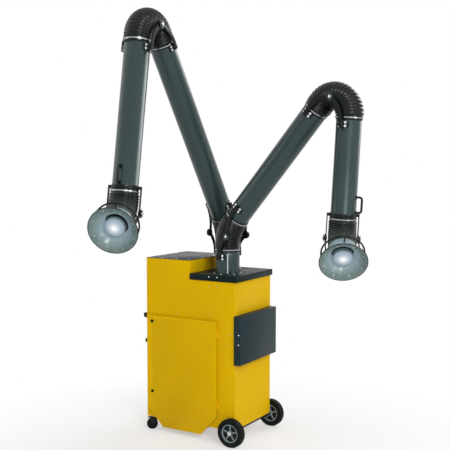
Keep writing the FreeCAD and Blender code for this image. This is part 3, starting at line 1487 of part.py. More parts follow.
def hood_ring(side, frames):
    """Throat clamp with two pivot ears and the ring handle on its spokes."""
    inside = S["tube_radius"] + S["seat_gap"]
    outside = inside + S["nose_ring_wall"]
    low = S["hood_clamp_start"]
    length = S["hood_clamp_length"]
    clamp = tube(side + "_hood_clamp", outside, inside, length, (0, 0, low))
    strip, wall, face = S["bracket_width"], S["bracket_wall"], far_face()
    ring, rod = S["ring_radius"], S["ring_rod_radius"]
    shoulder = rod * cosine(HEXAGON)
    depth = rod * sine(HEXAGON)
    section = [
        (ring - rod, 0), (ring - shoulder, -depth), (ring + shoulder, -depth),
        (ring + rod, 0), (ring + shoulder, depth), (ring - shoulder, depth),
    ]
    pieces = [clamp, revolved(side + "_hood_handle", section, (0, 0, low + length / 2))]
    for turn in (1, -1):
        base = face if turn > 0 else -face - wall
        riser_length = face + wall - inside - S["nose_ring_wall"] / 2
        riser = inside + S["nose_ring_wall"] / 2
        riser_base = riser if turn > 0 else -riser - riser_length
        pieces += [
            box(side + "_hood_ear", strip, wall, low + length, (-strip / 2, base, 0)),
            box(side + "_hood_riser", strip, riser_length, length, (-strip / 2, riser_base, low)),
            cylinder(side + "_hood_disc", S["pivot_disc_radius"], wall, (0, base, 0), ALONG_Y),
        ]
    for i in range(COUNTS["hood_spokes"]):
        angle = FULL_TURN * i / COUNTS["hood_spokes"]
        turn = FreeCAD.Rotation(Z_AXIS, angle).multiply(ALONG_X)
        start = inside + S["nose_ring_wall"] / 2
        pieces.append(cylinder(side + "_spoke", S["spoke_radius"], S["ring_radius"] - start,
                               (start * cosine(angle), start * sine(angle), low + length / 2), turn))
    past = face + 2 * wall
    hole = cylinder(side + "_hood_hole", S["pivot_pin_radius"] + S["running_gap"], 2 * past,
                    (0, -past, 0), ALONG_Y)
    body = cut(side + "_hood_frame", fuse(side + "_hood_pieces", pieces), [hole])
    pins = [pivot_pin(side + "_hood_pin", turn) for turn in (1, -1)]
    finish(group(side + "_hood_ring_group", [body] + pins), side + "_arm_hood_ring", frames["hood"])


def lamp(side, frames):
    """Work lamp: housing on a bar across the throat, with a domed glass."""
    base = S["lamp_distance"]
    throat = S["tube_radius"] - S["hood_wall"] - S["seat_gap"]
    half_width = S["lamp_bar_width"] / 2
    bar_reach = 2 * root(throat * throat - half_width * half_width)
    housing = fuse(side + "_lamp_housing", [
        cylinder(side + "_lamp_can", S["lamp_radius"], S["lamp_depth"], (0, 0, base)),
        box(side + "_lamp_bar", bar_reach, S["lamp_bar_width"], S["lamp_bar_wall"],
            (-bar_reach / 2, -half_width, base - S["lamp_bar_wall"])),
    ])
    top = base + S["lamp_depth"] + S["seat_gap"]
    rim = S["lamp_radius"]
    rise = S["lamp_dome_height"] - S["lamp_bar_wall"]
    dome = (rim * rim + rise * rise) / (2 * rise)
    profile = [(0, top), (rim, top), (rim, top + S["lamp_bar_wall"]), (0, top + S["lamp_dome_height"])]
    glass = revolved(side + "_lamp_glass", profile, radii={2: dome})
    finish(group(side + "_lamp_group", [housing, glass]), side + "_arm_lamp", frames["hood"])


def build_cabinet():
    cabinet_shell()
    tower_lid()
    deck_cap()
    deck_flanges()
    dust_hopper()
    exhaust_box()
    control_panel()
    power_inlet(main_switch())
    filter_plate()
    filter_cartridge()
    fan_scroll()
    impeller()
    fan_motor()
    filter_door()
    door_hinges()
    door_latch("door_latch_upper", S["latch_high_z"])
    door_latch("door_latch_lower", S["latch_low_z"])
    for name, y in big_wheel_places():
        wheel_tyre(name + "_tyre", y)
        wheel_rim(name + "_rim", y)
    wheel_axle()
    caster_plates()
    for name, x, y, turn in caster_spots():
        place = caster_place(x, y, turn)
        caster_fork(name + "_fork", place)
        caster_wheel(name + "_wheel", place)


def build_arm(side):
    frames = arm_frames(side)
    turret(side, frames)
    turret_brackets(side, frames)
    shoulder_hose(side, frames)
    inner_tube(side, frames)
    inner_brackets(side, frames)
    elbow_hose(side, frames)
    outer_tube(side, frames)
    outer_brackets(side, frames)
    grip(side, frames)
    damper(side, frames)
    nose_yoke(side, frames)
    nose_hose(side, frames)
    hood(side, frames)
    hood_ring(side, frames)
    lamp(side, frames)


def check_document():
    """Stop if any object failed to build or any sub-part is not a valid shape."""
    for item in doc.Objects:
        if "Invalid" in item.State or "Error" in item.State:
            raise RuntimeError("%s failed: %s" % (item.Label, item.State))
    faulty = [
        item.Label
        for item in sub_parts
        if item.Shape.isNull() or not item.Shape.isValid() or not item.Shape.Solids
    ]
    if faulty:
        raise RuntimeError("not valid solids: " + ", ".join(faulty))


def write_parts():
    os.makedirs("parts", exist_ok=True)
    for item in sub_parts:
        item.Shape.exportStep(os.path.join("parts", item.Label + ".step"))


build_cabinet()
for arm_side in ARM_SIDES:
    build_arm(arm_side)
doc.recompute()
check_document()
write_parts()
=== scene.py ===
import json
import math
import bmesh
import bpy
from mathutils import Matrix, Vector


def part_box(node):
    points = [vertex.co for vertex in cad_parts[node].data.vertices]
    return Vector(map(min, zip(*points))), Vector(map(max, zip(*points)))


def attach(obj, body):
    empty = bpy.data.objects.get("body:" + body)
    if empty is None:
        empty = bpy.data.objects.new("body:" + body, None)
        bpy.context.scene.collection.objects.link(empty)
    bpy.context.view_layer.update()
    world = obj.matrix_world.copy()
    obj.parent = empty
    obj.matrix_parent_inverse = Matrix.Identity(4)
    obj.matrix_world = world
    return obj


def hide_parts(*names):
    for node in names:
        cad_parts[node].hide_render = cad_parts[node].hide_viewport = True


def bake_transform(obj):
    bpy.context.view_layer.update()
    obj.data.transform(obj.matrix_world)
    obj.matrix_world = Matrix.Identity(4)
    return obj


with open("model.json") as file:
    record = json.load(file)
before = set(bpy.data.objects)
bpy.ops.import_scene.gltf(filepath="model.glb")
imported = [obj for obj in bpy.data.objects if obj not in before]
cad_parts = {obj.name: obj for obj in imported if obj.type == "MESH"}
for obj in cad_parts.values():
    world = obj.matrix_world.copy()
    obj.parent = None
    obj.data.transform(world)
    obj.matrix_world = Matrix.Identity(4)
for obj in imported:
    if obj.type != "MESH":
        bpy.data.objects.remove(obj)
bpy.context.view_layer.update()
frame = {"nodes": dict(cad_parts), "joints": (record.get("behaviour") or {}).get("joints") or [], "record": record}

# Looks of a portable fume extractor: a yellow filter cabinet on wheels with two
# jointed arms. Lengths in the tables below are in millimetres.
MM = 0.001
SIDES = ("long", "short")

CAMERA = {
    "place": (2.645, -4.359, 1.8286),
    "yaw": 31.22,
    "pitch": 4.01,
    "lens": 67.77,
    "sensor": 36.0,
}

ARM = {
    "tube_radius": 75.0,
    "tube_wall": 2.0,
    "pivot_offset": 75.0,
    "pivot_height": 258.0,
    "spigot_top": 181.0,
    "sleeve_radius": 79.5,
    "sleeve_top": 140.0,
    "bracket_outer_face": 101.4,
    "pivot_disc_step": 6.4,
    "shoulder_hose_start": 151.0,
    "shoulder_hose_end": 108.0,
    "elbow_radius": 110.0,
    "elbow_hose_start": 165.0,
    "elbow_hose_end": 128.0,
    "nose_bend_point": 105.0,
    "nose_hose_gap": 10.0,
    "nose_hose_end": 121.0,
    "nose_bend": 57.0,
    "hose_cuff": 26.0,
    "hose_valley": 78.6,
    "hose_crest": 84.2,
    "hose_wall": 1.4,
    "rib_pitch": 15.0,
    "shoulder_hold_share": 0.05,
    "elbow_hold_share": 0.16,
    "nose_hold_share": 0.05,
    "foot_top_radius": 79.2,
    "turret_foot": 117.0,
    "shoulder_foot": 181.0,
    "elbow_foot": 182.0,
    "outer_foot": 155.0,
    "foot_bolt_spread": 20.0,
    "foot_bolt_side": 22.0,
    # A bright steel strip up the turret's sleeve paints a highlight there.
    "seam_angle": -50.0,
    "seam_width": 5.0,
    "seam_wall": 2.6,
    "seam_low": 11.0,
    "seam_sink": 0.4,
    "flange_bolt_height": 5.2,
    "flange_bolt_circle": 86.0,
    "flange_bolts": 6,
    "edge": 0.8,
    "edge_round": 0.6,
}

CLAMP = {
    "width": 8.0,
    "radius": 80.2,
    "wall": 1.2,
    "edge": 0.6,
    "block_reach": 3.5,
    "block_depth": 7.0,
    "block_width": 7.0,
    "block_length": 14.0,
    "block_edge": 1.2,
    # Half outline of its screw, as (radius, height) points.
    "screw": [(0, -13), (3.6, -13), (4.2, -12), (4.2, -9), (2.4, -9), (2.4, 9), (0, 9)],
}

GRIP = {
    "foot_height": 75.3,
    "bow_height": 111.3,
    "half_length": 45.0,
    "corner": 14.0,
    "corner_steps": 8,
    "rod": 6.6,
    "rod_lift": 1.2,
    "from_end": 102.0,
    "turned": -10.0,
    "pad": (22, 16, 3.6),
    "pad_lift": 0.6,
    "pad_edge": 1.2,
}

HOOD = {
    "throat_start": 98.0,
    "throat_end": 150.0,
    "rim_distance": 215.0,
    "rim_radius": 142.0,
    "wall": 3.0,
    "flare_radius": 190.0,
    "lip": 6.0,
    "ring_radius": 126.0,
    "ring_rod": 5.2,
    "ring_sides": 24,
    "clamp_middle": 130.0,
    "sleeve_start": 95.0,
    "sleeve_end": 138.0,
    "sleeve_radius": 82.0,
    "sleeve_wall": 2.4,
    "sleeve_lip": 2.0,
    "sleeve_lip_drop": 1.2,
    "lamp_radius": 57.0,
    "lamp_distance": 150.0,
    "lamp_depth": 26.0,
    "lamp_edge": 3.0,
    "lamp_rim": 2.5,
    "glass_seat": 2.6,
    "glass_edge": 4.0,
    "glass_height": 16.0,
    "glass_steps": 10,
    "lamp_bar": (142.6, 12, 4),
    "bar_edge": 1.0,
    "rivet_circle": 118.0,
    "rivets": 8,
    "rivet_lean": (0.5, 0.86),
    "edge": 0.8,
}

WHEEL = {
    "hub_radius": 17.5,
    "well_radius": 54.4,
    "web_half": 7.0,
    "plate_wall": 1.2,
    "spokes": 5,
    "spoke_depth": 8.6,
    "spoke_width": 8.0,
    "spoke_sink": 1.0,
    "first_spoke": 0.3,
}

# Places of the housing's screws, from its front corner at the height of its lower edge.
PANEL = {
    "lower_edge": 96.0,
    "panel_rivet": [(248, 747), (514, 752), (665, 633), (665, 570), (506, 937), (564, 939)],
    "deck_rivet": [(507.6, 1005), (571.6, 1005)],
    "box_screw": [(735.4, 640), (735.4, 575.5)],
    "lid_screw": [(18, 18), (120, 18), (235, 18), (337, 18), (337, 190), (337, 330),
                  (337, 470), (235, 470), (120, 470), (18, 470), (18, 330), (18, 190)],
}

# Finish, width of the softened edges and nodes of the cabinet's and an arm's plain pieces.
CABINET = [
    ("yellow_paint", 0.9, ("cabinet_shell", "filter_door", "dust_hopper")),
    ("dark_paint", 1.0, ("tower_lid", "exhaust_box", "control_panel")),
    ("deck_paint", 1.0, ("deck_cap",)),
    ("tube_paint", 0.6, ("deck_flanges",)),
    ("black_plastic", 0.7, ("main_switch", "power_inlet", "door_latch_upper", "door_latch_lower")),
    ("yellow_paint", 0.5, ("door_hinges",)),
    ("zinc_steel", 0.3, ("filter_plate", "fan_scroll", "caster_plates", "impeller")),
    ("axle_black", 0.3, ("wheel_axle",)),
    ("cast_grey", 0.5, ("fan_motor",)),
    ("filter_paper", 0.0, ("filter_cartridge",)),
]
ARM_PARTS = [
    ("tube_paint", 0.8, ("turret",)),
    ("bracket_black", 0.9, ("turret_brackets", "inner_brackets", "outer_brackets", "nose_yoke")),
    ("ring_grey", 0.6, ("hood_ring",)),
    ("zinc_steel", 0.4, ("damper",)),
]

# Finish, whether the head is domed, its radius and height, and its washer's radius.
FASTENERS = {
    "foot_bolt": ("bright_steel", False, 5.0, 3.6, 7.5),
    "pivot_cap": ("cap_grey", True, 16.0, 2.4, 23.0),
    "pivot_bolt": ("bright_steel", False, 6.5, 4.5, 8.5),
    "flange_bolt": ("bright_steel", False, 5.4, 4.3, 0.0),
    "hood_rivet": ("bright_steel", True, 3.0, 1.6, 0.0),
    "panel_rivet": ("rivet_steel", True, 2.6, 1.0, 0.0),
    "deck_rivet": ("bright_steel", True, 4.4, 1.8, 0.0),
    "box_screw": ("bright_steel", True, 4.8, 2.2, 0.0),
    "lid_screw": ("bright_steel", True, 4.6, 2.8, 0.0),
    "hub_cap": ("hub_steel", True, 13.0, 3.0, 0.0),
}

# Place and aim in metres, the sides of the panel in metres, and power in watts.
LIGHTS = {
    "key": ((5.4, -5.0, 5.0), (0, 0, 1.2), (2.0, 2.0), 370.0),
    "side": ((7.4, -1.5, 2.4), (0, 0, 1.4), (0.8, 3.0), 120.0),
    "fill": ((-6.0, -3.0, 4.0), (0, 0, 1.2), (4.0, 4.0), 60.0),
    "rim": ((1.5, 6.5, 5.0), (0, 0, 1.4), (4.0, 3.0), 150.0),
}

WHITE = (1.0, 1.0, 1.0, 1.0)
BLACK = (0.0, 0.0, 0.0, 1.0)

# Metres from the lamp's axis or middle between which a glow fades, and the power of the fade: on the hood and the
# hose the glow is painted lamp light, on the glass it is the lamp's own light.
GLOW = {
    "hood": (0.07, 0.12, 1.2),
    "glass": (0.004, 0.062, 2.2),
    "hose": (0.06, 0.22, 1.8),
}
# Strength of the painted glow of lamp light on the hood moulding.
HOOD_PAINTED_GLOW_STRENGTH = 0.6
RIM_FADE = (0.135, 0.139)

# The floor's half length, the metres over which it turns white, and its white share under
# the object; the sky's strength as a light, where it is seen as plain white.
FLOOR_REACH = 30.0
FLOOR_FADE = (0.8, 2.2)
FLOOR_NEAR_WHITE = 0.45
SKY_LIGHT = 0.48

# Steps of a hose's middle line, its sides, the steps of each rib and of both cuffs together,
# the power that rounds a rib's wave, and the steps of a hood's flare.
HOSE_STEPS = 96
HOSE_SIDES = 72
RIB_STEPS = 8
CUFF_STEPS = 24.0
RIB_POWER = 0.8
FLARE_STEPS = 14

# A fastener without a washer gets a thin one, hidden under its head.
WASHER_WALL = 1.2
HIDDEN_WASHER_WALL = 0.3
HIDDEN_WASHER_SHARE = 0.9

# Distance in metres within which points are merged, the angle under which faces count as flat,
# and how many degrees over the smoothing angle an edge has to be to get softened.
MERGED = 0.00001
PACKED_MERGED = 0.00002
FLAT_ANGLE = math.radians(0.6)
SOFTEN_OVER = 8.0

# Sides and rings of the fasteners' heads and washers.
HEX_SIDES = 6
DOME_SIDES = 16
DOME_RINGS = 8
WASHER_SIDES = 24


# Small helpers

def axes(x, y, z, origin):
    """Matrix of a frame with these axes at an origin."""
    made = Matrix((x, y, z)).transposed().to_4x4()
    made.translation = origin
    return made


def shift(x=0.0, y=0.0, z=0.0):
    return Matrix.Translation(Vector((x, y, z)) * MM)


def turn(angle, axis):
    return Matrix.Rotation(math.radians(angle), 4, axis)


def arm_frames(side):
    """Frames of an arm's links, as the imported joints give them."""
    spot, axis = {}, {}
    for joint in frame["joints"]:
        owner, _, name = joint["name"].partition("_")
        if owner == side:
            spot[name] = Vector(joint["pos_m"])
            axis[name] = Vector(joint["axis"]).normalized()
    across, down, tilt, up = axis["shoulder"], axis["nose_swivel"], axis["hood_tilt"], Vector((0, 0, 1))
    link = spot["elbow"] - spot["shoulder"]
    along = link.normalized()
    return {
        "turret": axes(across.cross(up), across, up, spot["swivel"]),
        "inner": axes(along, across, along.cross(across), spot["shoulder"]),
        "outer": axes(down, across, down.cross(across), spot["elbow"]),
        "nose": axes(tilt.cross(down), tilt, down, spot["nose_swivel"]),
        "hood": axes(tilt.cross(down), tilt, down, spot["hood_tilt"]) @ turn(ARM["nose_bend"], "Y"),
        "link": link.length / MM,
        "outer_end": (spot["nose_swivel"] - spot["elbow"]).dot(down) / MM,
        "lean": math.degrees(along.angle(up)),
        "opening": math.degrees(along.angle(-down)),
    }


FRAMES = {side: arm_frames(side) for side in SIDES}


# Node trees

class Tree:
    """Short way to add and join nodes."""

    def __init__(self, tree):
        self.tree = tree

    def add(self, kind, inputs=None, **settings):
        node = self.tree.nodes.new(kind)
        for name, value in settings.items():
            setattr(node, name, value)
        for name, value in (inputs or {}).items():
            self.feed(node.inputs[name], value)
        return node

    def feed(self, socket, value):
        if isinstance(value, bpy.types.NodeSocket):
            self.tree.links.new(value, socket)
        else:
            socket.default_value = value

    def wire(self, node, **values):
        """Feed a node's inputs by name, with underscores for the spaces."""
        for label, value in values.items():
            self.feed(node.inputs[label.replace("_", " ")], value)

    def maths(self, operation, first, second=0.0, clamp=False):
        node = self.add("ShaderNodeMath", {0: first, 1: second}, operation=operation, use_clamp=clamp)
        return node.outputs[0]

    def blend(self, factor, first, second, mode="MIX"):
        node = self.add("ShaderNodeMix", {"Factor": factor, "A": first, "B": second},
                        data_type="RGBA", blend_type=mode)
        return node.outputs["Result"]

    def remap(self, value, low, high, to_low=0.0, to_high=1.0):
        node = self.add("ShaderNodeMapRange", {
            "Value": value, "From Min": low, "From Max": high, "To Min": to_low, "To Max": to_high})
        return node.outputs["Result"]

    def spread(self, tone, to_low=0.0, to_high=1.0):
        """The usual range of a noise, mapped to another."""
        return self.remap(tone, 0.3, 0.7, to_low, to_high)

    def fade(self, distance, near, far, power):
        return self.maths("POWER", self.remap(distance, near, far, 1.0, 0.0), power)

    def noise(self, place, scale, detail=3.0, rough=0.5):
        node = self.add("ShaderNodeTexNoise", {
            "Vector": place, "Scale": scale, "Detail": detail, "Roughness": rough})
        return node.outputs["Fac"]


def open_group(name, kind, inputs, outputs):
    """Node group with named sockets: its tree, its input node and its output node."""
    group = bpy.data.node_groups.new(name, kind)
    for direction, sockets in (("INPUT", inputs), ("OUTPUT", outputs)):
        for label, socket_type, value in sockets:
            made = group.interface.new_socket(label, in_out=direction, socket_type="NodeSocket" + socket_type)
            if value is not None:
                made.default_value = value
    tree = Tree(group)
    return tree, tree.add("NodeGroupInput"), tree.add("NodeGroupOutput")


def object_place(tree):
    return tree.add("ShaderNodeTexCoord").outputs["Object"]


def shader_group(name, inputs, outputs=("Height", "Tone")):
    """Group of plain numbers: its tree, inputs and output node, and the place on the object."""
    tree, given, out = open_group(
        name, "ShaderNodeTree", [(label, "Float", value) for label, value in inputs.items()],
        [(label, "Float", None) for label in outputs])
    return tree, given.outputs, out, object_place(tree)


def drawn_out(tree, place, share):
    """Place for a noise that is stretched along Z."""
    return tree.add("ShaderNodeMapping", {"Vector": place, "Scale": (1.0, 1.0, share)}).outputs["Vector"]


def paint_skin_group():
    """Fine orange peel of a powder coat, with slow changes of tone."""
    tree, given, out, place = shader_group("paint_skin", {"Peel Scale": 420.0, "Tone Scale": 5.0})
    tree.wire(out, Height=tree.noise(place, given["Peel Scale"], 2.0),
              Tone=tree.noise(place, given["Tone Scale"], 4.0, 0.6))
    return tree.tree


def grime_group():
    """Dust that gathers near the floor, faint streaks and hairline scuffs."""
    tree, given, out, place = shader_group(
        "grime", {"Floor Height": 0.35, "Amount": 0.5, "Scuff Scale": 60.0}, ("Dust", "Scuff"))
    height = tree.add("ShaderNodeSeparateXYZ", {0: place}).outputs["Z"]
    low = tree.remap(height, 0.0, given["Floor Height"], 1.0, 0.0)
    patch = tree.remap(tree.noise(place, 14.0, 6.0, 0.65), 0.42, 0.7)
    dust = tree.maths("MULTIPLY", patch, tree.maths("ADD", low, 0.16))
    line = tree.noise(drawn_out(tree, place, 0.12), given["Scuff Scale"], 5.0, 0.7)
    for label, value in (("Dust", dust), ("Scuff", tree.remap(line, 0.66, 0.78))):
        tree.feed(out.inputs[label], tree.maths("MULTIPLY", value, given["Amount"], clamp=True))
    return tree.tree


def brushed_group():
    """Fine drawn lines of plated or brushed steel."""
    tree, given, out, place = shader_group("brushed_lines", {"Line Scale": 260.0})
    lines = tree.noise(drawn_out(tree, place, 0.05), given["Line Scale"], 3.0, 0.6)
    tree.wire(out, Height=lines, Tone=tree.maths("MULTIPLY", lines, tree.noise(place, 24.0)))
    return tree.tree


def grain_group():
    """Leathery grain of moulded rubber, plastic and coated cloth."""
    tree, given, out, place = shader_group("moulded_grain", {"Grain Scale": 500.0})
    cells = tree.add("ShaderNodeTexVoronoi", {"Vector": place, "Scale": given["Grain Scale"]})
    tree.wire(out, Height=cells.outputs["Distance"], Tone=tree.noise(place, 30.0, 4.0, 0.6))
    return tree.tree


SKIN, GRIME, BRUSHED, GRAIN = paint_skin_group(), grime_group(), brushed_group(), grain_group()


def use_group(tree, group, **values):
    node = tree.add("ShaderNodeGroup", node_tree=group)
    tree.wire(node, **values)
    return node.outputs


def shade_of(colour, factor):
    return tuple(min(c * factor, 1.0) for c in colour[:3]) + (1.0,)


def linear(red, green, blue):
    """Scene colour of a screen colour given from 0 to 255."""
    def one(value):
        value /= 255
        return value / 12.92 if value <= 0.04045 else ((value + 0.055) / 1.055) ** 2.4
    return (one(red), one(green), one(blue), 1.0)


DUST_COLOUR = linear(150, 142, 128)


def new_material(name, **plain):
    material = bpy.data.materials.new(name)
    material.use_nodes = True
    tree = Tree(material.node_tree)
    shader = material.node_tree.nodes["Principled BSDF"]
    tree.wire(shader, **plain)
    return material, tree, shader


def finish_surface(tree, shader, height, strength, distance):
    bump = tree.add("ShaderNodeBump", {"Strength": strength, "Distance": distance, "Height": height})
    tree.feed(shader.inputs["Normal"], bump.outputs["Normal"])


def dusted(tree, shader, skin, grime, colour, cover, rough, dull, depth):
    """A colour under dust, its roughness within a range that follows the skin's tone."""
    tree.wire(shader, Base_Color=tree.blend(
        tree.maths("MULTIPLY", grime["Dust"], cover), colour, DUST_COLOUR), Roughness=tree.maths(
        "ADD", tree.spread(skin["Tone"], *rough), tree.maths("MULTIPLY", grime["Dust"], dull), clamp=True))
    finish_surface(tree, shader, skin["Height"], depth, 0.0004)


def painted(name, colour, rough, dust, scuff_colour, coat=0.0, metallic=0.0, spread=0.06, shine=0.3):
    """Powder coated or painted metal."""
    material, tree, shader = new_material(
        name, Coat_Weight=coat, Coat_Roughness=0.18, Metallic=metallic, Specular_IOR_Level=shine)
    skin = use_group(tree, SKIN, Peel_Scale=420.0, Tone_Scale=4.0)
    grime = use_group(tree, GRIME, Floor_Height=0.3, Amount=dust, Scuff_Scale=70.0)
    tone = tree.spread(skin["Tone"], 1.0 - spread, 1.0 + spread)
    grey = tree.add("ShaderNodeCombineColor", {"Red": tone, "Green": tone, "Blue": tone}).outputs["Color"]
    toned = tree.blend(1.0, colour, grey, "MULTIPLY")
    scuffed = tree.blend(tree.maths("MULTIPLY", grime["Scuff"], 0.5), toned, scuff_colour)
    dusted(tree, shader, skin, grime, scuffed, 0.6, (rough - 0.05, rough + 0.06), 0.3, 0.12)
    return material


def moulded(name, colour, rough, dust, shine, grain=500.0, depth=0.25, floor=0.3):
    """Moulded rubber or plastic with a fine grain."""
    material, tree, shader = new_material(name, Specular_IOR_Level=shine)
    skin = use_group(tree, GRAIN, Grain_Scale=grain)
    grime = use_group(tree, GRIME, Floor_Height=floor, Amount=dust, Scuff_Scale=90.0)
    toned = tree.blend(tree.spread(skin["Tone"]), shade_of(colour, 0.88), shade_of(colour, 1.24))
    dusted(tree, shader, skin, grime, toned, 0.5, (rough - 0.06, rough + 0.08), 0.2, depth)
    return material


def plated(name, colour, rough):
    """Zinc plated or polished steel."""
    material, tree, shader = new_material(name, Metallic=1.0)
    skin = use_group(tree, BRUSHED, Line_Scale=260.0)
    toned = tree.blend(tree.remap(skin["Tone"], 0.1, 0.4), shade_of(colour, 0.82), shade_of(colour, 1.05))
    tree.wire(shader, Base_Color=toned, Roughness=tree.spread(skin["Height"], rough - 0.08, rough + 0.1))
    finish_surface(tree, shader, skin["Height"], 0.12, 0.0002)
    return material


def hood_place(tree, side):
    """Place in the frame of a side's hood, and the distance from the hood's axis."""
    to_local = FRAMES[side]["hood"].inverted()
    place = tree.add("ShaderNodeMapping", {
        "Vector": object_place(tree), "Location": to_local.translation,
        "Rotation": to_local.to_euler("XYZ")}).outputs["Vector"]
    local = tree.add("ShaderNodeSeparateXYZ", {0: place}).outputs
    squares = [tree.maths("POWER", local[axis], 2.0) for axis in "XY"]
    return place, tree.maths("POWER", tree.maths("ADD", *squares), 0.5)


def hood_shell(name, side):
    """Translucent moulding, darker at its edges, with a painted glow of lamp light near its lamp."""
    material, tree, shader = new_material(name, Alpha=0.93, Coat_Weight=0.08, Coat_Roughness=0.12,
                                          Specular_IOR_Level=0.25)
    skin = use_group(tree, GRAIN, Grain_Scale=160.0)
    away = hood_place(tree, side)[1]
    # Painted glow: emission that fades away from the lamp's axis stands in for the lamp's light falling on the
    # moulding.
    glow = tree.fade(away, *GLOW["hood"])
    body = tree.blend(tree.spread(skin["Tone"]), linear(88, 106, 104), linear(104, 122, 119))
    tree.wire(shader, Base_Color=tree.blend(tree.remap(away, *RIM_FADE), body, linear(24, 32, 30)),
              Emission_Color=tree.blend(glow, BLACK, linear(150, 170, 184)),
              Emission_Strength=HOOD_PAINTED_GLOW_STRENGTH, Roughness=tree.spread(skin["Tone"], 0.22, 0.34))
    finish_surface(tree, shader, skin["Height"], 0.08, 0.0003)
    return material


def lamp_lens(name, side):
    """Frosted lamp glass, brightest in its middle."""
    material, tree, shader = new_material(name, Roughness=0.35, Base_Color=linear(60, 70, 78))
    place, away = hood_place(tree, side)
    near = tree.fade(away, *GLOW["glass"])
    tree.wire(shader, Emission_Color=tree.blend(near, linear(126, 146, 158), WHITE), Emission_Strength=1.0)
    finish_surface(tree, shader, tree.noise(place, 300.0, 2.0), 0.15, 0.0004)
    return material


def pleated_paper(name):
    material, tree, shader = new_material(name, Roughness=0.9)
    place = object_place(tree)
    fibre = tree.noise(place, 900.0, 4.0, 0.7)
    stain = tree.noise(place, 12.0, 4.0)
    clean = tree.blend(fibre, linear(214, 208, 190), linear(232, 228, 214))
    stained = tree.blend(tree.remap(stain, 0.5, 0.8, 0.0, 0.6), clean, linear(150, 140, 122))
    tree.feed(shader.inputs["Base Color"], stained)
    finish_surface(tree, shader, fibre, 0.3, 0.0005)
    return material


def hose_cloth(name, side=None):
    """Black coated cloth with a fine weave; with a side given, its near end gets a painted glow of that side's
    lamp light.
    """
    material, tree, shader = new_material(name, Specular_IOR_Level=0.22)
    place = object_place(tree)
    skin = use_group(tree, GRAIN, Grain_Scale=700.0)
    tone = tree.noise(place, 22.0, 4.0, 0.6)
    tree.wire(shader, Base_Color=tree.blend(tree.remap(tone, 0.35, 0.7), linear(6, 9, 9), linear(17, 22, 22)),
              Roughness=tree.spread(tone, 0.2, 0.3))
    finish_surface(tree, shader, skin["Height"], 0.3, 0.0003)
    if side:
        # Painted glow: emission that fades away from the lamp stands in for its light falling on the hose.
        lamp = FRAMES[side]["hood"] @ (Vector((0, 0, HOOD["lamp_distance"])) * MM)
        away = tree.add("ShaderNodeVectorMath", {0: place, 1: tuple(lamp)}, operation="DISTANCE")
        glow = tree.fade(away.outputs["Value"], *GLOW["hose"])
        tree.wire(shader, Emission_Color=tree.blend(glow, BLACK, linear(76, 88, 80)), Emission_Strength=1.0)
    return material


FINISH = {
    "yellow_paint": painted("yellow powder coat", linear(208, 166, 0), 0.42, 0.1, linear(176, 134, 2),
                            spread=0.025, shine=0.04),
    "dark_paint": painted("charcoal powder coat", linear(31, 44, 48), 0.36, 0.05, linear(66, 78, 80),
                          shine=0.08),
    "deck_paint": painted("dark deck paint", linear(15, 28, 27), 0.4, 0.05, linear(56, 66, 66), shine=0.07),
    "tube_paint": painted("green grey tube paint", linear(46, 61, 62), 0.28, 0.05, linear(84, 96, 98),
                          coat=0.12, metallic=0.25, shine=0.25),
    "bracket_black": painted("black bracket paint", linear(10, 14, 15), 0.34, 0.05, linear(56, 62, 64),
                             shine=0.2),
    "ring_grey": painted("black ring paint", linear(14, 18, 19), 0.34, 0.05, linear(60, 66, 66), shine=0.2),
    "cast_grey": painted("motor enamel", linear(86, 94, 100), 0.5, 0.2, linear(130, 134, 134)),
    # The pivot caps' grey, lighter than the brackets, is partly their paint and partly a painted sheen.
    "cap_grey": painted("pivot cap paint with painted sheen", linear(40, 50, 51), 0.3, 0.05, linear(90, 98, 98), shine=0.3),
    "hose_black": hose_cloth("ribbed hose cloth"),
    "long_nose_hose": hose_cloth("lit hose cloth long", "long"),
    "short_nose_hose": hose_cloth("lit hose cloth short", "short"),
    "black_plastic": moulded("black moulding", linear(16, 18, 19), 0.4, 0.06, 0.15),
    "lamp_shell": moulded("pale lamp enamel", linear(122, 136, 142), 0.4, 0.05, 0.2),
    "wheel_grey": moulded("grey hub moulding", linear(112, 126, 127), 0.4, 0.06, 0.3),
    "tyre": moulded("tyre rubber", linear(10, 14, 14), 0.42, 0.04, 0.1, grain=380.0, depth=0.4, floor=0.12),
    "zinc_steel": plated("zinc plated steel", (0.62, 0.63, 0.64), 0.34),
    "bright_steel": plated("bright fastener steel", (0.8, 0.81, 0.82), 0.24),
    "clamp_steel": plated("dull clamp steel", (0.34, 0.36, 0.37), 0.3),
    "filter_paper": pleated_paper("filter paper"),
}
FINISH["axle_black"] = FINISH["bracket_black"]
FINISH["hub_steel"] = FINISH["rivet_steel"] = FINISH["zinc_steel"]

# Finishes of each side's hood moulding and lamp lens, keyed by the names that their pieces use.
for hood_side in SIDES:
    FINISH[hood_side + "_hood"] = hood_shell(hood_side + " hood moulding", hood_side)
    FINISH[hood_side + "_lens"] = lamp_lens(hood_side + " lamp lens", hood_side)


# Making and finishing pieces

def around(count, first=0.0):
    """Cosines and sines of angles spread evenly over a turn, from the first, in radians."""
    angles = [2 * math.pi * i / count + first for i in range(count)]
    return [(math.cos(a), math.sin(a)) for a in angles]


def node_body(node):
    return next(body for body, nodes in frame["record"]["behaviour"]["bodies"].items() if node in nodes)


def clean_mesh(mesh):
    """Merge doubled points and turn the faces outwards."""
    made = bmesh.new()
    made.from_mesh(mesh)
    bmesh.ops.remove_doubles(made, verts=made.verts, dist=MERGED)
    bmesh.ops.recalc_face_normals(made, faces=made.faces)
    made.to_mesh(mesh)
    made.free()


def smooth_by_angle(mesh, angle):
    mesh.shade_smooth()
    mesh.set_sharp_from_angle(angle=math.radians(angle))


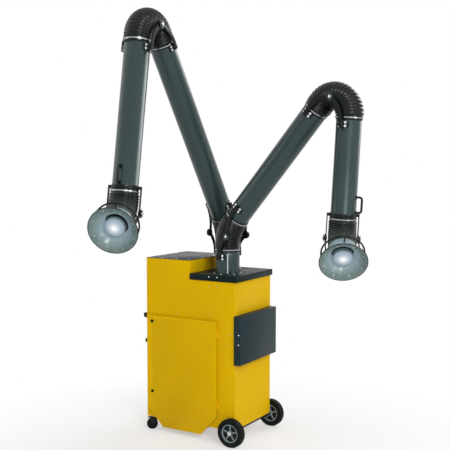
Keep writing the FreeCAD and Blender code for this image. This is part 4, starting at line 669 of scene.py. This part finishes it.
def link_object(name, data):
    piece = bpy.data.objects.new(name, data)
    bpy.context.scene.collection.objects.link(piece)
    return piece


def add_object(name, mesh, finish):
    piece = link_object(name, mesh)
    mesh.materials.clear()
    mesh.materials.append(FINISH[finish])
    return piece


def keep_result(piece):
    """Keep a piece's evaluated mesh in place of its modifiers."""
    plain = bpy.data.meshes.new_from_object(
        piece.evaluated_get(bpy.context.evaluated_depsgraph_get()))
    piece.modifiers.clear()
    piece.data = plain


def settle(piece, body, stands_for=()):
    """Attach a finished piece to the body it rides on, and hide the parts it stands for."""
    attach(piece, body)
    if stands_for:
        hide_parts(*stands_for)


def settled_mesh(name, mesh, place, finish, body, angle, stands_for=()):
    """Piece of a clean mesh moved to its place."""
    mesh.transform(place)
    clean_mesh(mesh)
    smooth_by_angle(mesh, angle)
    settle(add_object(name, mesh, finish), body, stands_for)


def from_data(name, points, faces, *details):
    mesh = bpy.data.meshes.new(name)
    mesh.from_pydata([tuple(p) for p in points], [], faces)
    settled_mesh(name, mesh, *details)


def lathe(name, profile, place, finish, body, segments=96, angle=32.0, stands_for=()):
    """Closed ring or solid turned from (radius, height) points in millimetres."""
    count = len(profile)
    points = [Vector((radius * x, radius * y, height)) * MM
              for x, y in around(segments) for radius, height in profile]
    faces = []
    for i in range(segments):
        j = (i + 1) % segments
        for p in range(count):
            q = (p + 1) % count
            faces.append((i * count + p, j * count + p, j * count + q, i * count + q))
    from_data(name, points, faces, place, finish, body, angle, stands_for)


def arc_points(centre, radius, start, end, steps):
    """Points of an arc in (radius, height) space, angles in degrees."""
    made = []
    for i in range(steps + 1):
        a = math.radians(start + (end - start) * i / steps)
        made.append((centre[0] + radius * math.cos(a), centre[1] + radius * math.sin(a)))
    return made


def swept_rod(name, path, radius, place, finish, body, stands_for, sides=24):
    """Closed round rod along points in millimetres."""
    path = [Vector(p) for p in path]
    points, faces = [], []
    side = None
    for i, spot in enumerate(path):
        before = path[max(i - 1, 0)]
        after = path[min(i + 1, len(path) - 1)]
        along = (after - before).normalized()
        if side is None:
            side = along.orthogonal().normalized()
        side = (side - along * side.dot(along)).normalized()
        other = along.cross(side)
        points += [(spot + (side * x + other * y) * radius) * MM for x, y in around(sides)]
    for i in range(len(path) - 1):
        for k in range(sides):
            m = (k + 1) % sides
            faces.append((i * sides + k, i * sides + m, (i + 1) * sides + m, (i + 1) * sides + k))
    faces.append(tuple(range(sides))[::-1])
    faces.append(tuple((len(path) - 1) * sides + k for k in range(sides)))
    from_data(name, points, faces, place, finish, body, 40.0, stands_for)


def refined(node, finish, bevel, angle=28.0, segments=2):
    """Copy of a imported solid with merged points, softened edges and smooth curved faces."""
    mesh = frame["nodes"][node].data.copy()
    mesh.name = node + "_refined"
    made = bmesh.new()
    made.from_mesh(mesh)
    bmesh.ops.remove_doubles(made, verts=made.verts, dist=PACKED_MERGED)
    bmesh.ops.dissolve_limit(made, angle_limit=FLAT_ANGLE, verts=made.verts, edges=made.edges)
    made.to_mesh(mesh)
    made.free()
    piece = add_object(node + "_refined", mesh, finish)
    if bevel:
        soft = piece.modifiers.new("soft edges", "BEVEL")
        soft.width = bevel * MM
        soft.segments = segments
        soft.limit_method = "ANGLE"
        soft.angle_limit = math.radians(angle + SOFTEN_OVER)
        soft.use_clamp_overlap = True
    keep_result(piece)
    smooth_by_angle(piece.data, angle)
    settle(piece, node_body(node), [node])


def refine_all(table, start=""):
    for finish, bevel, nodes in table:
        for node in nodes:
            refined(start + node, finish, bevel)


# Geometry node trees

def node_tree(name, inputs):
    tree, given, out = open_group(
        name, "GeometryNodeTree", [("Geometry", "Geometry", None)] + inputs, [("Geometry", "Geometry", None)])
    return tree, given.outputs, out


def close_tree(tree, out, geometry, material):
    plain = tree.add("GeometryNodeRealizeInstances", {"Geometry": geometry})
    set_finish = tree.add("GeometryNodeSetMaterial", {"Geometry": plain.outputs[0], "Material": material})
    tree.feed(out.inputs["Geometry"], set_finish.outputs[0])
    return tree.tree


def set_on_points(tree, given, geometry, axis):
    """Copies of a geometry on every point, one of its axes turned to the facing direction."""
    facing = tree.add("GeometryNodeInputNamedAttribute", {"Name": "facing"}, data_type="FLOAT_VECTOR")
    turned = tree.add("FunctionNodeAlignRotationToVector", {"Vector": facing.outputs["Attribute"]}, axis=axis)
    return tree.add("GeometryNodeInstanceOnPoints", {
        "Points": given["Geometry"], "Instance": geometry, "Rotation": turned.outputs[0]}).outputs[0]


def raised(tree, mesh, height, flat=1.0):
    """A mesh moved up its Z axis and flattened along it."""
    return tree.add("GeometryNodeTransform", {
        "Geometry": mesh.outputs["Mesh"],
        "Translation": tree.add("ShaderNodeCombineXYZ", {"Z": height}).outputs[0],
        "Scale": tree.add("ShaderNodeCombineXYZ", {"X": 1.0, "Y": 1.0, "Z": flat}).outputs[0]}).outputs[0]


def fastener_tree(name, head_sides, domed):
    """Washer and head, set on every point and turned to its facing direction."""
    tree, given, out = node_tree(name, [
        ("Head Radius", "Float", 0.005), ("Head Height", "Float", 0.004),
        ("Washer Radius", "Float", 0.008), ("Washer Height", "Float", 0.0012),
        ("Finish", "Material", None)])
    washer = tree.add("GeometryNodeMeshCylinder", {
        "Vertices": WASHER_SIDES, "Radius": given["Washer Radius"], "Depth": given["Washer Height"]})
    washer_up = raised(tree, washer, tree.maths("MULTIPLY", given["Washer Height"], 0.5))
    if domed:
        head = tree.add("GeometryNodeMeshUVSphere", {
            "Segments": head_sides, "Rings": DOME_RINGS, "Radius": given["Head Radius"]})
        head_up = raised(tree, head, given["Washer Height"],
                         tree.maths("DIVIDE", given["Head Height"], given["Head Radius"]))
    else:
        head = tree.add("GeometryNodeMeshCylinder", {
            "Vertices": head_sides, "Radius": given["Head Radius"], "Depth": given["Head Height"]})
        head_up = raised(tree, head, tree.maths(
            "ADD", given["Washer Height"], tree.maths("MULTIPLY", given["Head Height"], 0.5)))
    whole = tree.add("GeometryNodeJoinGeometry")
    tree.feed(whole.inputs[0], head_up)
    tree.feed(whole.inputs[0], washer_up)
    return close_tree(tree, out, set_on_points(tree, given, whole.outputs[0], "Z"), given["Finish"])


def hose_tree():
    """Tube along the given line, with rounded ribs between two plain cuffs."""
    tree, given, out = node_tree("ribbed_hose", [
        ("Valley Radius", "Float", 0.078), ("Rib Height", "Float", 0.005), ("Cuff Share", "Float", 0.08),
        ("Rib Count", "Float", 20.0), ("Steps Per Rib", "Int", RIB_STEPS), ("Ring Points", "Int", HOSE_SIDES),
        ("Finish", "Material", None)])
    line = tree.add("GeometryNodeMeshToCurve", {"Mesh": given["Geometry"]})
    steps = tree.maths("ADD", tree.maths("MULTIPLY", given["Rib Count"], given["Steps Per Rib"]), CUFF_STEPS)
    even = tree.add("GeometryNodeResampleCurve", {"Curve": line.outputs["Curve"], "Count": steps})
    where = tree.add("GeometryNodeSplineParameter").outputs["Factor"]
    inner_share = tree.maths("SUBTRACT", 1.0, tree.maths("MULTIPLY", given["Cuff Share"], 2.0))
    share = tree.maths("DIVIDE", tree.maths("SUBTRACT", where, given["Cuff Share"]), inner_share, clamp=True)
    phase = tree.maths("MULTIPLY", share, given["Rib Count"])
    wave = tree.maths("ABSOLUTE", tree.maths("SINE", tree.maths("MULTIPLY", phase, math.pi)))
    crest = tree.maths("POWER", wave, RIB_POWER)
    radius = tree.maths("ADD", given["Valley Radius"], tree.maths("MULTIPLY", crest, given["Rib Height"]))
    ring = tree.add("GeometryNodeCurvePrimitiveCircle", {"Resolution": given["Ring Points"], "Radius": 1.0})
    swept = tree.add("GeometryNodeCurveToMesh", {
        "Curve": even.outputs["Curve"], "Profile Curve": ring.outputs["Curve"], "Scale": radius})
    return close_tree(tree, out, swept.outputs["Mesh"], given["Finish"])


def spoke_tree():
    """Flat bar, set on every point and turned along its facing direction."""
    tree, given, out = node_tree("wheel_spokes", [
        ("Bar Size", "Vector", (0.04, 0.008, 0.008)), ("Finish", "Material", None)])
    bar = tree.add("GeometryNodeMeshCube", {"Size": given["Bar Size"]})
    return close_tree(tree, out, set_on_points(tree, given, bar.outputs["Mesh"], "X"), given["Finish"])


SPOKES = spoke_tree()
HEX_BOLTS = fastener_tree("hex_bolts", HEX_SIDES, False)
DOME_SCREWS = fastener_tree("dome_screws", DOME_SIDES, True)
HOSE = hose_tree()


def run_tree(piece, tree, wall=0.0, **values):
    """Run a geometry tree on an object, give it a wall in metres and keep the plain mesh."""
    modifier = piece.modifiers.new("rule", "NODES")
    modifier.node_group = tree
    for item in tree.interface.items_tree:
        key = item.name.replace(" ", "_")
        if item.item_type == "SOCKET" and item.in_out == "INPUT" and key in values:
            modifier[item.identifier] = values[key]
    if wall:
        shell = piece.modifiers.new("wall", "SOLIDIFY")
        shell.thickness = wall
        shell.offset = -1.0
    keep_result(piece)


def line_object(name, points, edges=()):
    mesh = bpy.data.meshes.new(name)
    mesh.from_pydata([tuple(p) for p in points], list(edges), [])
    return link_object(name, mesh)


def facing_spot(place, point, out):
    """Point in metres, from millimetres in a frame, and the direction that faces out."""
    return place @ (Vector(point) * MM), place.to_3x3() @ Vector(out)


def facing_points(name, spots):
    """Object of single points, each with the direction that it faces."""
    piece = line_object(name, [point for point, direction in spots])
    facing = piece.data.attributes.new("facing", "FLOAT_VECTOR", "POINT")
    for i, (point, direction) in enumerate(spots):
        facing.data[i].vector = direction.normalized()
    return piece


def fasteners(name, body, spots, kind):
    """Fasteners on spots, each a point in metres and the direction its head faces."""
    finish, domed, radius, height, washer = FASTENERS[kind]
    piece = facing_points(name, spots)
    run_tree(piece, DOME_SCREWS if domed else HEX_BOLTS,
             Head_Radius=radius * MM, Head_Height=height * MM,
             Washer_Radius=max(washer, radius * HIDDEN_WASHER_SHARE) * MM,
             Washer_Height=(WASHER_WALL if washer else HIDDEN_WASHER_WALL) * MM, Finish=FINISH[finish])
    smooth_by_angle(piece.data, 35.0)
    settle(piece, body)


# Hoses of the arms

def path_spot(distance, first, radius, angle):
    """Point of a path that runs straight, round an arc, and straight again."""
    if distance <= first:
        return Vector((0, 0, distance))
    swung = min((distance - first) / radius, angle)
    past = distance - first - radius * swung
    heading = Vector((math.sin(swung), 0, math.cos(swung)))
    return Vector((radius * (1 - math.cos(swung)), 0, first + radius * math.sin(swung))) + heading * past


def hose(side, joint_name, place, first, radius, angle, last, finish="hose_black"):
    """Ribbed hose, bent in an arc at the joint between two bodies."""
    node = "%s_arm_%s_hose" % (side, joint_name)
    swing, steps = math.radians(angle), HOSE_STEPS
    total = first + radius * swing + last
    spots = [place @ (path_spot(total * i / steps, first, radius, swing) * MM) for i in range(steps + 1)]
    piece = line_object(node + "_ribbed", spots, [(i, i + 1) for i in range(steps)])
    cuff = ARM["hose_cuff"]
    run_tree(piece, HOSE, ARM["hose_wall"] * MM, Valley_Radius=ARM["hose_valley"] * MM,
             Rib_Height=(ARM["hose_crest"] - ARM["hose_valley"]) * MM, Cuff_Share=cuff / total,
             Rib_Count=float(round((total - 2 * cuff) / ARM["rib_pitch"])), Steps_Per_Rib=RIB_STEPS,
             Ring_Points=HOSE_SIDES, Finish=FINISH[finish])
    clean_mesh(piece.data)
    piece.data.shade_smooth()
    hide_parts(node)
    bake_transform(piece)


def hose_clamp(name, place, body, screw_angle):
    """Bright band with a screw housing, round the cuff at the frame's origin."""
    inner, half, edge = CLAMP["radius"], CLAMP["width"] / 2, CLAMP["edge"]
    outer = inner + CLAMP["wall"]
    lathe(name, [(inner, -half), (outer, edge - half), (outer, half - edge), (inner, half)],
          place, "clamp_steel", body)
    housing = place @ turn(screw_angle, "Z") @ shift(outer + CLAMP["block_reach"], 0, 0)
    size = (CLAMP["block_depth"], CLAMP["block_length"], CLAMP["block_width"])
    box_piece(name + "_screw_block", size, housing, "clamp_steel", body, CLAMP["block_edge"])
    lathe(name + "_screw", CLAMP["screw"], housing @ turn(90, "X"), "bright_steel", body, 24)


def box_piece(name, size, place, finish, body, bevel):
    """Block with rounded edges; its size is in millimetres."""
    made = bmesh.new()
    bmesh.ops.create_cube(made, size=1.0, matrix=Matrix.Diagonal([length * MM for length in size] + [1.0]))
    bmesh.ops.bevel(made, geom=made.edges, offset=bevel * MM, segments=3, affect="EDGES", profile=0.6)
    mesh = bpy.data.meshes.new(name)
    made.to_mesh(mesh)
    made.free()
    settled_mesh(name, mesh, place, finish, body, 40.0)


def along_x(place):
    """Frame whose Z is the given frame's X."""
    return place @ turn(90, "Y")


def arm_hoses(side):
    frames = FRAMES[side]
    offset, cuff = ARM["pivot_offset"], ARM["hose_cuff"]
    shoulder_start, shoulder_end = ARM["shoulder_hose_start"], ARM["shoulder_hose_end"]
    elbow_start, elbow_end = ARM["elbow_hose_start"], ARM["elbow_hose_end"]
    half = math.tan(math.radians(frames["lean"] / 2))
    reach = ARM["pivot_height"] + offset * half - ARM["spigot_top"]
    hose(side, "shoulder", frames["turret"] @ shift(z=shoulder_start), ARM["spigot_top"] - shoulder_start,
         reach / half, frames["lean"], shoulder_end - reach + offset * half)
    opening = frames["opening"]
    bend_start = (ARM["elbow_radius"] - offset) / math.tan(math.radians(opening / 2))
    hose(side, "elbow", along_x(frames["inner"] @ shift(frames["link"] - elbow_start, 0, offset)),
         elbow_start - bend_start, ARM["elbow_radius"], 180 - opening, elbow_end - bend_start)
    reach = ARM["nose_bend_point"] - ARM["nose_hose_gap"]
    bend = ARM["nose_bend"]
    hose(side, "nose", frames["nose"] @ shift(z=-cuff), cuff + ARM["nose_hose_gap"],
         reach / math.tan(math.radians(bend / 2)), bend, ARM["nose_hose_end"] - reach,
         side + "_nose_hose")
    middle = cuff / 2
    inner, outer = frames["inner"], frames["outer"]
    clamps = [
        ("turret", frames["turret"] @ shift(z=shoulder_start + middle), 80),
        ("inner", along_x(inner @ shift(shoulder_end - middle, 0, offset)), 100),
        ("inner", along_x(inner @ shift(frames["link"] - elbow_start + middle, 0, offset)), 60),
        ("outer", along_x(outer @ shift(elbow_end - middle, 0, offset)), -60),
        ("nose", frames["nose"] @ shift(z=-cuff + middle), 200),
    ]
    for i, (body, place, angle) in enumerate(clamps):
        hose_clamp("%s_arm_hose_clamp_%d" % (side, i + 1), place, side + "_" + body, angle)


# Rigid parts of the arms

def inner_tube(side):
    """Thin painted tube with rolled ends."""
    frames, cuff, edge = FRAMES[side], ARM["hose_cuff"], ARM["edge"]
    radius = ARM["tube_radius"]
    bore, rolled = radius - ARM["tube_wall"], radius - ARM["edge_round"]
    start, end = ARM["shoulder_hose_end"] - cuff, frames["link"] - ARM["elbow_hose_start"] + cuff
    profile = [(bore, start), (rolled, start), (radius, start + edge),
               (radius, end - edge), (rolled, end), (bore, end)]
    lathe(side + "_arm_inner_tube_painted", profile, along_x(frames["inner"] @ shift(z=ARM["pivot_offset"])),
          "tube_paint", side + "_inner", 128, stands_for=[side + "_arm_inner_tube"])


def foot_spots(place, radius):
    """Four bolts on each of two bracket feet, on a tube along the frame's X."""
    half = ARM["foot_bolt_spread"] / 2
    spots = []
    for hand in (1, -1):
        for along in (-half, half):
            for up in (-ARM["foot_bolt_side"], ARM["foot_bolt_side"]):
                reach = hand * math.sqrt(radius ** 2 - up ** 2)
                spots.append(facing_spot(place, (along, reach, up), (0, reach, up)))
    return spots


def bracket_fasteners(side):
    """Bright bolts on the bracket feet and at the pivots."""
    frames = FRAMES[side]
    inner, outer, turret = frames["inner"], frames["outer"], frames["turret"]
    top, offset = ARM["foot_top_radius"], ARM["pivot_offset"]
    sleeve = ARM["sleeve_radius"] - ARM["tube_radius"]
    feet = {
        "turret": foot_spots(turret @ shift(z=ARM["turret_foot"]) @ turn(-90, "Y"), top + sleeve),
        "inner": foot_spots(inner @ shift(ARM["shoulder_foot"], 0, offset), top)
        + foot_spots(inner @ shift(frames["link"] - ARM["elbow_foot"], 0, offset), top),
        "outer": foot_spots(outer @ shift(ARM["outer_foot"], 0, offset), top),
    }
    for body, spots in feet.items():
        fasteners("%s_%s_foot_bolts" % (side, body), side + "_" + body, spots, "foot_bolt")
    face = ARM["bracket_outer_face"] + ARM["pivot_disc_step"]
    pivots = {
        "turret": turret @ shift(offset, 0, ARM["pivot_height"]),
        "outer": outer,
        "hood": frames["hood"],
    }
    for body, place in pivots.items():
        for kind, reach in (("pivot_cap", face), ("pivot_bolt", face + FASTENERS["pivot_cap"][3])):
            spots = [facing_spot(place, (0, hand * reach, 0), (0, hand, 0)) for hand in (1, -1)]
            fasteners("%s_%s_%ss" % (side, body, kind), side + "_" + body, spots, kind)


def collar_trim(side):
    """Bright steel strip up the turret's sleeve as a painted highlight, and bright bolts round the flange that
    carries it.
    """
    turret = FRAMES[side]["turret"]
    low, high, wall = ARM["seam_low"], ARM["sleeve_top"], ARM["seam_wall"]
    reach = ARM["sleeve_radius"] + wall / 2 - ARM["seam_sink"]
    # The bright strip is a painted highlight up the sleeve.
    box_piece(side + "_arm_sleeve_seam", (wall, ARM["seam_width"], high - low),
              turret @ turn(ARM["seam_angle"], "Z") @ shift(x=reach, z=(low + high) / 2),
              "bright_steel", side + "_turret", ARM["edge"])
    flange = Matrix.Translation((*turret.translation.xy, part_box("deck_flanges")[0].z))
    circle, count = ARM["flange_bolt_circle"], ARM["flange_bolts"]
    spots = [facing_spot(flange, (circle * x, circle * y, ARM["flange_bolt_height"]), (0, 0, 1))
             for x, y in around(count, math.pi / count)]
    fasteners(side + "_flange_bolt_heads", "root", spots, "flange_bolt")


def grip_piece(side):
    """Bowed grip with rounded corners on two small pads."""
    node, body, frames = side + "_arm_grip", side + "_outer", FRAMES[side]
    low, high, half, corner = (GRIP[k] for k in ("foot_height", "bow_height", "half_length", "corner"))
    path = [(-half, 0, low + GRIP["rod_lift"])]
    for i in range(GRIP["corner_steps"] + 1):
        a = math.pi / 2 * i / GRIP["corner_steps"]
        path.append((-half + corner * (1 - math.cos(a)), 0, high - corner + corner * math.sin(a)))
    path += [(-x, y, z) for x, y, z in reversed(path)]
    place = (frames["outer"] @ shift(frames["outer_end"] - GRIP["from_end"], 0, ARM["pivot_offset"])
             @ turn(GRIP["turned"], "X"))
    swept_rod(node + "_bar", path, GRIP["rod"], place, "bracket_black", body, [node])
    for i, x in enumerate((-half, half)):
        box_piece("%s_pad_%d" % (node, i + 1), GRIP["pad"], place @ shift(x, 0, low + GRIP["pad_lift"]),
                  "bracket_black", body, GRIP["pad_edge"])


def flare_arc(first, last, bend):
    """Points of the arc of this radius that bows towards the axis between two points."""
    half = math.dist(first, last) / 2
    along = ((last[0] - first[0]) / (2 * half), (last[1] - first[1]) / (2 * half))
    depth = math.sqrt(bend * bend - half * half)
    centre = ((first[0] + last[0]) / 2 + along[1] * depth, (first[1] + last[1]) / 2 - along[0] * depth)
    start, end = (math.degrees(math.atan2(at[1] - centre[1], at[0] - centre[0])) for at in (first, last))
    return arc_points(centre, bend, start, start + (end - start + 180) % 360 - 180, FLARE_STEPS)


def hood_dish(side):
    """Throat and flared dish with rivets, and the sleeve behind them."""
    place, body, node = FRAMES[side]["hood"], side + "_hood", side + "_arm_hood"
    radius, wall, flare, edge = ARM["tube_radius"], HOOD["wall"], HOOD["flare_radius"], HOOD["edge"]
    rim, rim_z, lip = HOOD["rim_radius"], HOOD["rim_distance"], HOOD["lip"]
    back, neck = HOOD["throat_start"], HOOD["throat_end"]
    inside = flare_arc((radius - wall, neck + wall), (rim - lip - wall, rim_z), flare + wall)
    profile = [(radius - wall, back), (radius - edge, back), (radius, back + edge)]
    profile += flare_arc((radius, neck), (rim - lip, rim_z - lip), flare)
    profile += [(rim - edge, rim_z - lip), (rim, rim_z - lip + edge), (rim, rim_z - edge), (rim - edge, rim_z)]
    profile += reversed(inside)
    lathe(node + "_moulding", profile, place, body, body, 128, 35.0, [node])
    low, high, outer = HOOD["sleeve_start"], HOOD["sleeve_end"], HOOD["sleeve_radius"]
    inner = outer - HOOD["sleeve_wall"]
    lathe(node + "_sleeve", [
        (inner, low), (outer - edge, low), (outer, low + edge), (outer, high - HOOD["sleeve_lip"]),
        (outer - HOOD["sleeve_lip_drop"], high), (inner, high)], place, body, body)
    at = min(inside, key=lambda p: abs(p[0] - HOOD["rivet_circle"]))
    sideways, forward = HOOD["rivet_lean"]
    rivets = [facing_spot(place, (at[0] * x, at[0] * y, at[1]), (-sideways * x, -sideways * y, forward))
              for x, y in around(HOOD["rivets"], math.pi / HOOD["rivets"])]
    fasteners(node + "_rivets", body, rivets, "hood_rivet")


def hood_fittings(side):
    """Ring handle and work lamp."""
    place, body, name = FRAMES[side]["hood"], side + "_hood", side + "_arm_"
    sides = HOOD["ring_sides"]
    section = arc_points((HOOD["ring_radius"], HOOD["clamp_middle"]), HOOD["ring_rod"],
                         0, 360 - 360 / sides, sides - 1)
    lathe(name + "hood_ring_handle", section, place, "ring_grey", body, 128, 60.0)
    base, radius, edge = HOOD["lamp_distance"], HOOD["lamp_radius"], HOOD["lamp_edge"]
    top, bore = base + HOOD["lamp_depth"], radius - HOOD["lamp_rim"]
    lathe(name + "lamp_can", [
        (0, base), (radius - edge, base), (radius, base + edge), (radius, top), (bore, top),
        (bore, top - edge), (0, top - edge)], place, "lamp_shell", body, stands_for=[name + "lamp"])
    low, rim, steps = top - HOOD["glass_seat"], radius - edge, HOOD["glass_steps"]
    high, rise = low + HOOD["glass_edge"], HOOD["glass_height"] - HOOD["glass_edge"]
    sphere = (rim ** 2 + rise ** 2) / (2 * rise)
    dome = [(0, low), (rim, low), (rim, high)]
    for i in range(1, steps + 1):
        r = rim * (1 - i / steps)
        dome.append((r, high + math.sqrt(sphere ** 2 - r * r) - (sphere - rise)))
    lathe(name + "lamp_lens", dome, place, side + "_lens", body, 64, 50.0)
    size = HOOD["lamp_bar"]
    box_piece(name + "lamp_bar", size, place @ shift(z=base - size[2] / 2), "black_plastic", body,
              HOOD["bar_edge"])


def dress_arm(side):
    arm_hoses(side)
    inner_tube(side)
    refined(side + "_arm_outer_tube", "tube_paint", 0.4, 30.0, 1)
    refine_all(ARM_PARTS, side + "_arm_")
    bracket_fasteners(side)
    collar_trim(side)
    grip_piece(side)
    hood_dish(side)
    hood_fittings(side)


# Cabinet

def panel_screws():
    """Small screws and rivets that the housing shows."""
    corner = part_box("cabinet_shell")[0]
    for name, kind, node in (("front_panel_rivets", "panel_rivet", "cabinet_shell"),
                             ("deck_cap_rivets", "deck_rivet", "deck_cap"),
                             ("exhaust_box_screws", "box_screw", "exhaust_box")):
        front = Matrix.Translation((corner.x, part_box(node)[0].y, PANEL["lower_edge"] * MM))
        fasteners(name, "root", [facing_spot(front, (x, 0, z), (0, -1, 0)) for x, z in PANEL[kind]], kind)
    lid = Matrix.Translation((corner.x, corner.y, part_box("tower_lid")[1].z))
    spots = [facing_spot(lid, (x, y, 0), (0, 0, 1)) for x, y in PANEL["lid_screw"]]
    fasteners("tower_lid_screws", "root", spots, "lid_screw")


def wheel_spokes(wheel):
    """Spokes over a dark plate in both wells of a wheel's rim; the plates paint shade into the wells."""
    low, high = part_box(wheel + "_rim")
    centre = Matrix.Translation((low + high) / 2)
    hub, well, web = WHEEL["hub_radius"], WHEEL["well_radius"], WHEEL["web_half"]
    depth, face, middle = WHEEL["spoke_depth"], web + WHEEL["plate_wall"], (hub + well) / 2
    spots = []
    for hand, label in ((1, "outer"), (-1, "inner")):
        # The black plates are painted shade in the wells behind the spokes.
        lathe("%s_%s_plate" % (wheel, label), [
            (hub, hand * web), (well, hand * web), (well, hand * face), (hub, hand * face)],
            centre @ turn(90, "X"), "black_plastic", wheel)
        spots += [facing_spot(centre, (middle * x, -hand * (face + depth / 2), middle * z), (x, 0, z))
                  for x, z in around(WHEEL["spokes"], WHEEL["first_spoke"])]
    piece = facing_points(wheel + "_spokes", spots)
    size = Vector((well - hub + WHEEL["spoke_sink"], depth, WHEEL["spoke_width"])) * MM
    run_tree(piece, SPOKES, Bar_Size=size, Finish=FINISH["wheel_grey"])
    settle(piece, wheel)


def hub_cap(side, hand):
    """Bright cap over the axle's end, on the outside of a wheel."""
    rim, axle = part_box(side + "_wheel_rim"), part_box("wheel_axle")
    spot = (rim[0] + rim[1]) / 2
    spot.y = hand * max(hand * box[corner].y for box in (rim, axle) for corner in (0, 1))
    fasteners(side + "_hub_cap", side + "_wheel", [(spot, Vector((0, hand, 0)))], "hub_cap")


def dress_cabinet():
    refine_all(CABINET)
    for side in ("front", "back"):
        refined(side + "_wheel_tyre", "tyre", 1.5, 30.0)
        refined(side + "_wheel_rim", "wheel_grey", 0.8)
        refined(side + "_caster_wheel", "tyre", 0.8)
        refined(side + "_caster_fork", "axle_black", 0.3)
        wheel_spokes(side + "_wheel")
    hub_cap("front", -1)
    hub_cap("back", 1)
    panel_screws()


# Stage, lights and camera

def seen_rays(tree):
    """One for rays of the camera, of reflections or through glass, zero for light on the object."""
    rays = tree.add("ShaderNodeLightPath").outputs
    seen = tree.maths("MAXIMUM", rays["Is Camera Ray"], rays["Is Glossy Ray"])
    return tree.maths("MAXIMUM", seen, rays["Is Transmission Ray"])


def stage():
    mesh = bpy.data.meshes.new("studio_floor")
    corners = [(x * FLOOR_REACH, y * FLOOR_REACH, 0) for x, y in ((-1, -1), (1, -1), (1, 1), (-1, 1))]
    mesh.from_pydata(corners, [], [(0, 1, 2, 3)])
    material, tree, shader = new_material(
        "pale floor", Roughness=0.9, Base_Color=(0.92, 0.92, 0.92, 1.0), Specular_IOR_Level=0.1)
    flat = tree.add("ShaderNodeVectorMath", {0: object_place(tree)}, operation="LENGTH").outputs["Value"]
    far = tree.maths("MULTIPLY", tree.remap(flat, *FLOOR_FADE, FLOOR_NEAR_WHITE, 1.0), seen_rays(tree))
    white = tree.add("ShaderNodeEmission", {"Color": WHITE, "Strength": 1.0})
    mixed = tree.add("ShaderNodeMixShader", {0: far, 1: shader.outputs[0], 2: white.outputs[0]})
    tree.feed(material.node_tree.nodes["Material Output"].inputs["Surface"], mixed.outputs[0])
    floor = link_object("studio_floor", mesh)
    mesh.materials.append(material)
    world = bpy.data.worlds.new("studio")
    bpy.context.scene.world = world
    world.use_nodes = True
    tree = Tree(world.node_tree)
    back = world.node_tree.nodes["Background"]
    tree.feed(back.inputs["Strength"], tree.remap(seen_rays(tree), 0.0, 1.0, SKY_LIGHT, 1.0))
    back.inputs["Color"].default_value = WHITE


def lights_and_camera():
    for name, (place, aim, size, power) in LIGHTS.items():
        data = bpy.data.lights.new(name, "AREA")
        data.shape = "RECTANGLE"
        data.size, data.size_y = size
        data.energy = power
        light = link_object(name, data)
        light.location = place
        light.rotation_euler = (Vector(aim) - Vector(place)).to_track_quat("-Z", "Y").to_euler()
    data = bpy.data.cameras.new("photo_camera")
    data.lens = CAMERA["lens"]
    data.sensor_width = CAMERA["sensor"]
    data.clip_end = 100.0
    yaw, pitch = math.radians(CAMERA["yaw"]), math.radians(CAMERA["pitch"])
    right = Vector((math.cos(yaw), math.sin(yaw), 0))
    forward = Vector((-math.sin(yaw) * math.cos(pitch), math.cos(yaw) * math.cos(pitch), -math.sin(pitch)))
    camera = link_object("photo_camera", data)
    camera.matrix_world = axes(right, right.cross(forward), -forward, Vector(CAMERA["place"]))
    bpy.context.scene.camera = camera
    bpy.context.scene.view_settings.view_transform = "Standard"


dress_cabinet()
for arm_side in SIDES:
    dress_arm(arm_side)
stage()
lights_and_camera()
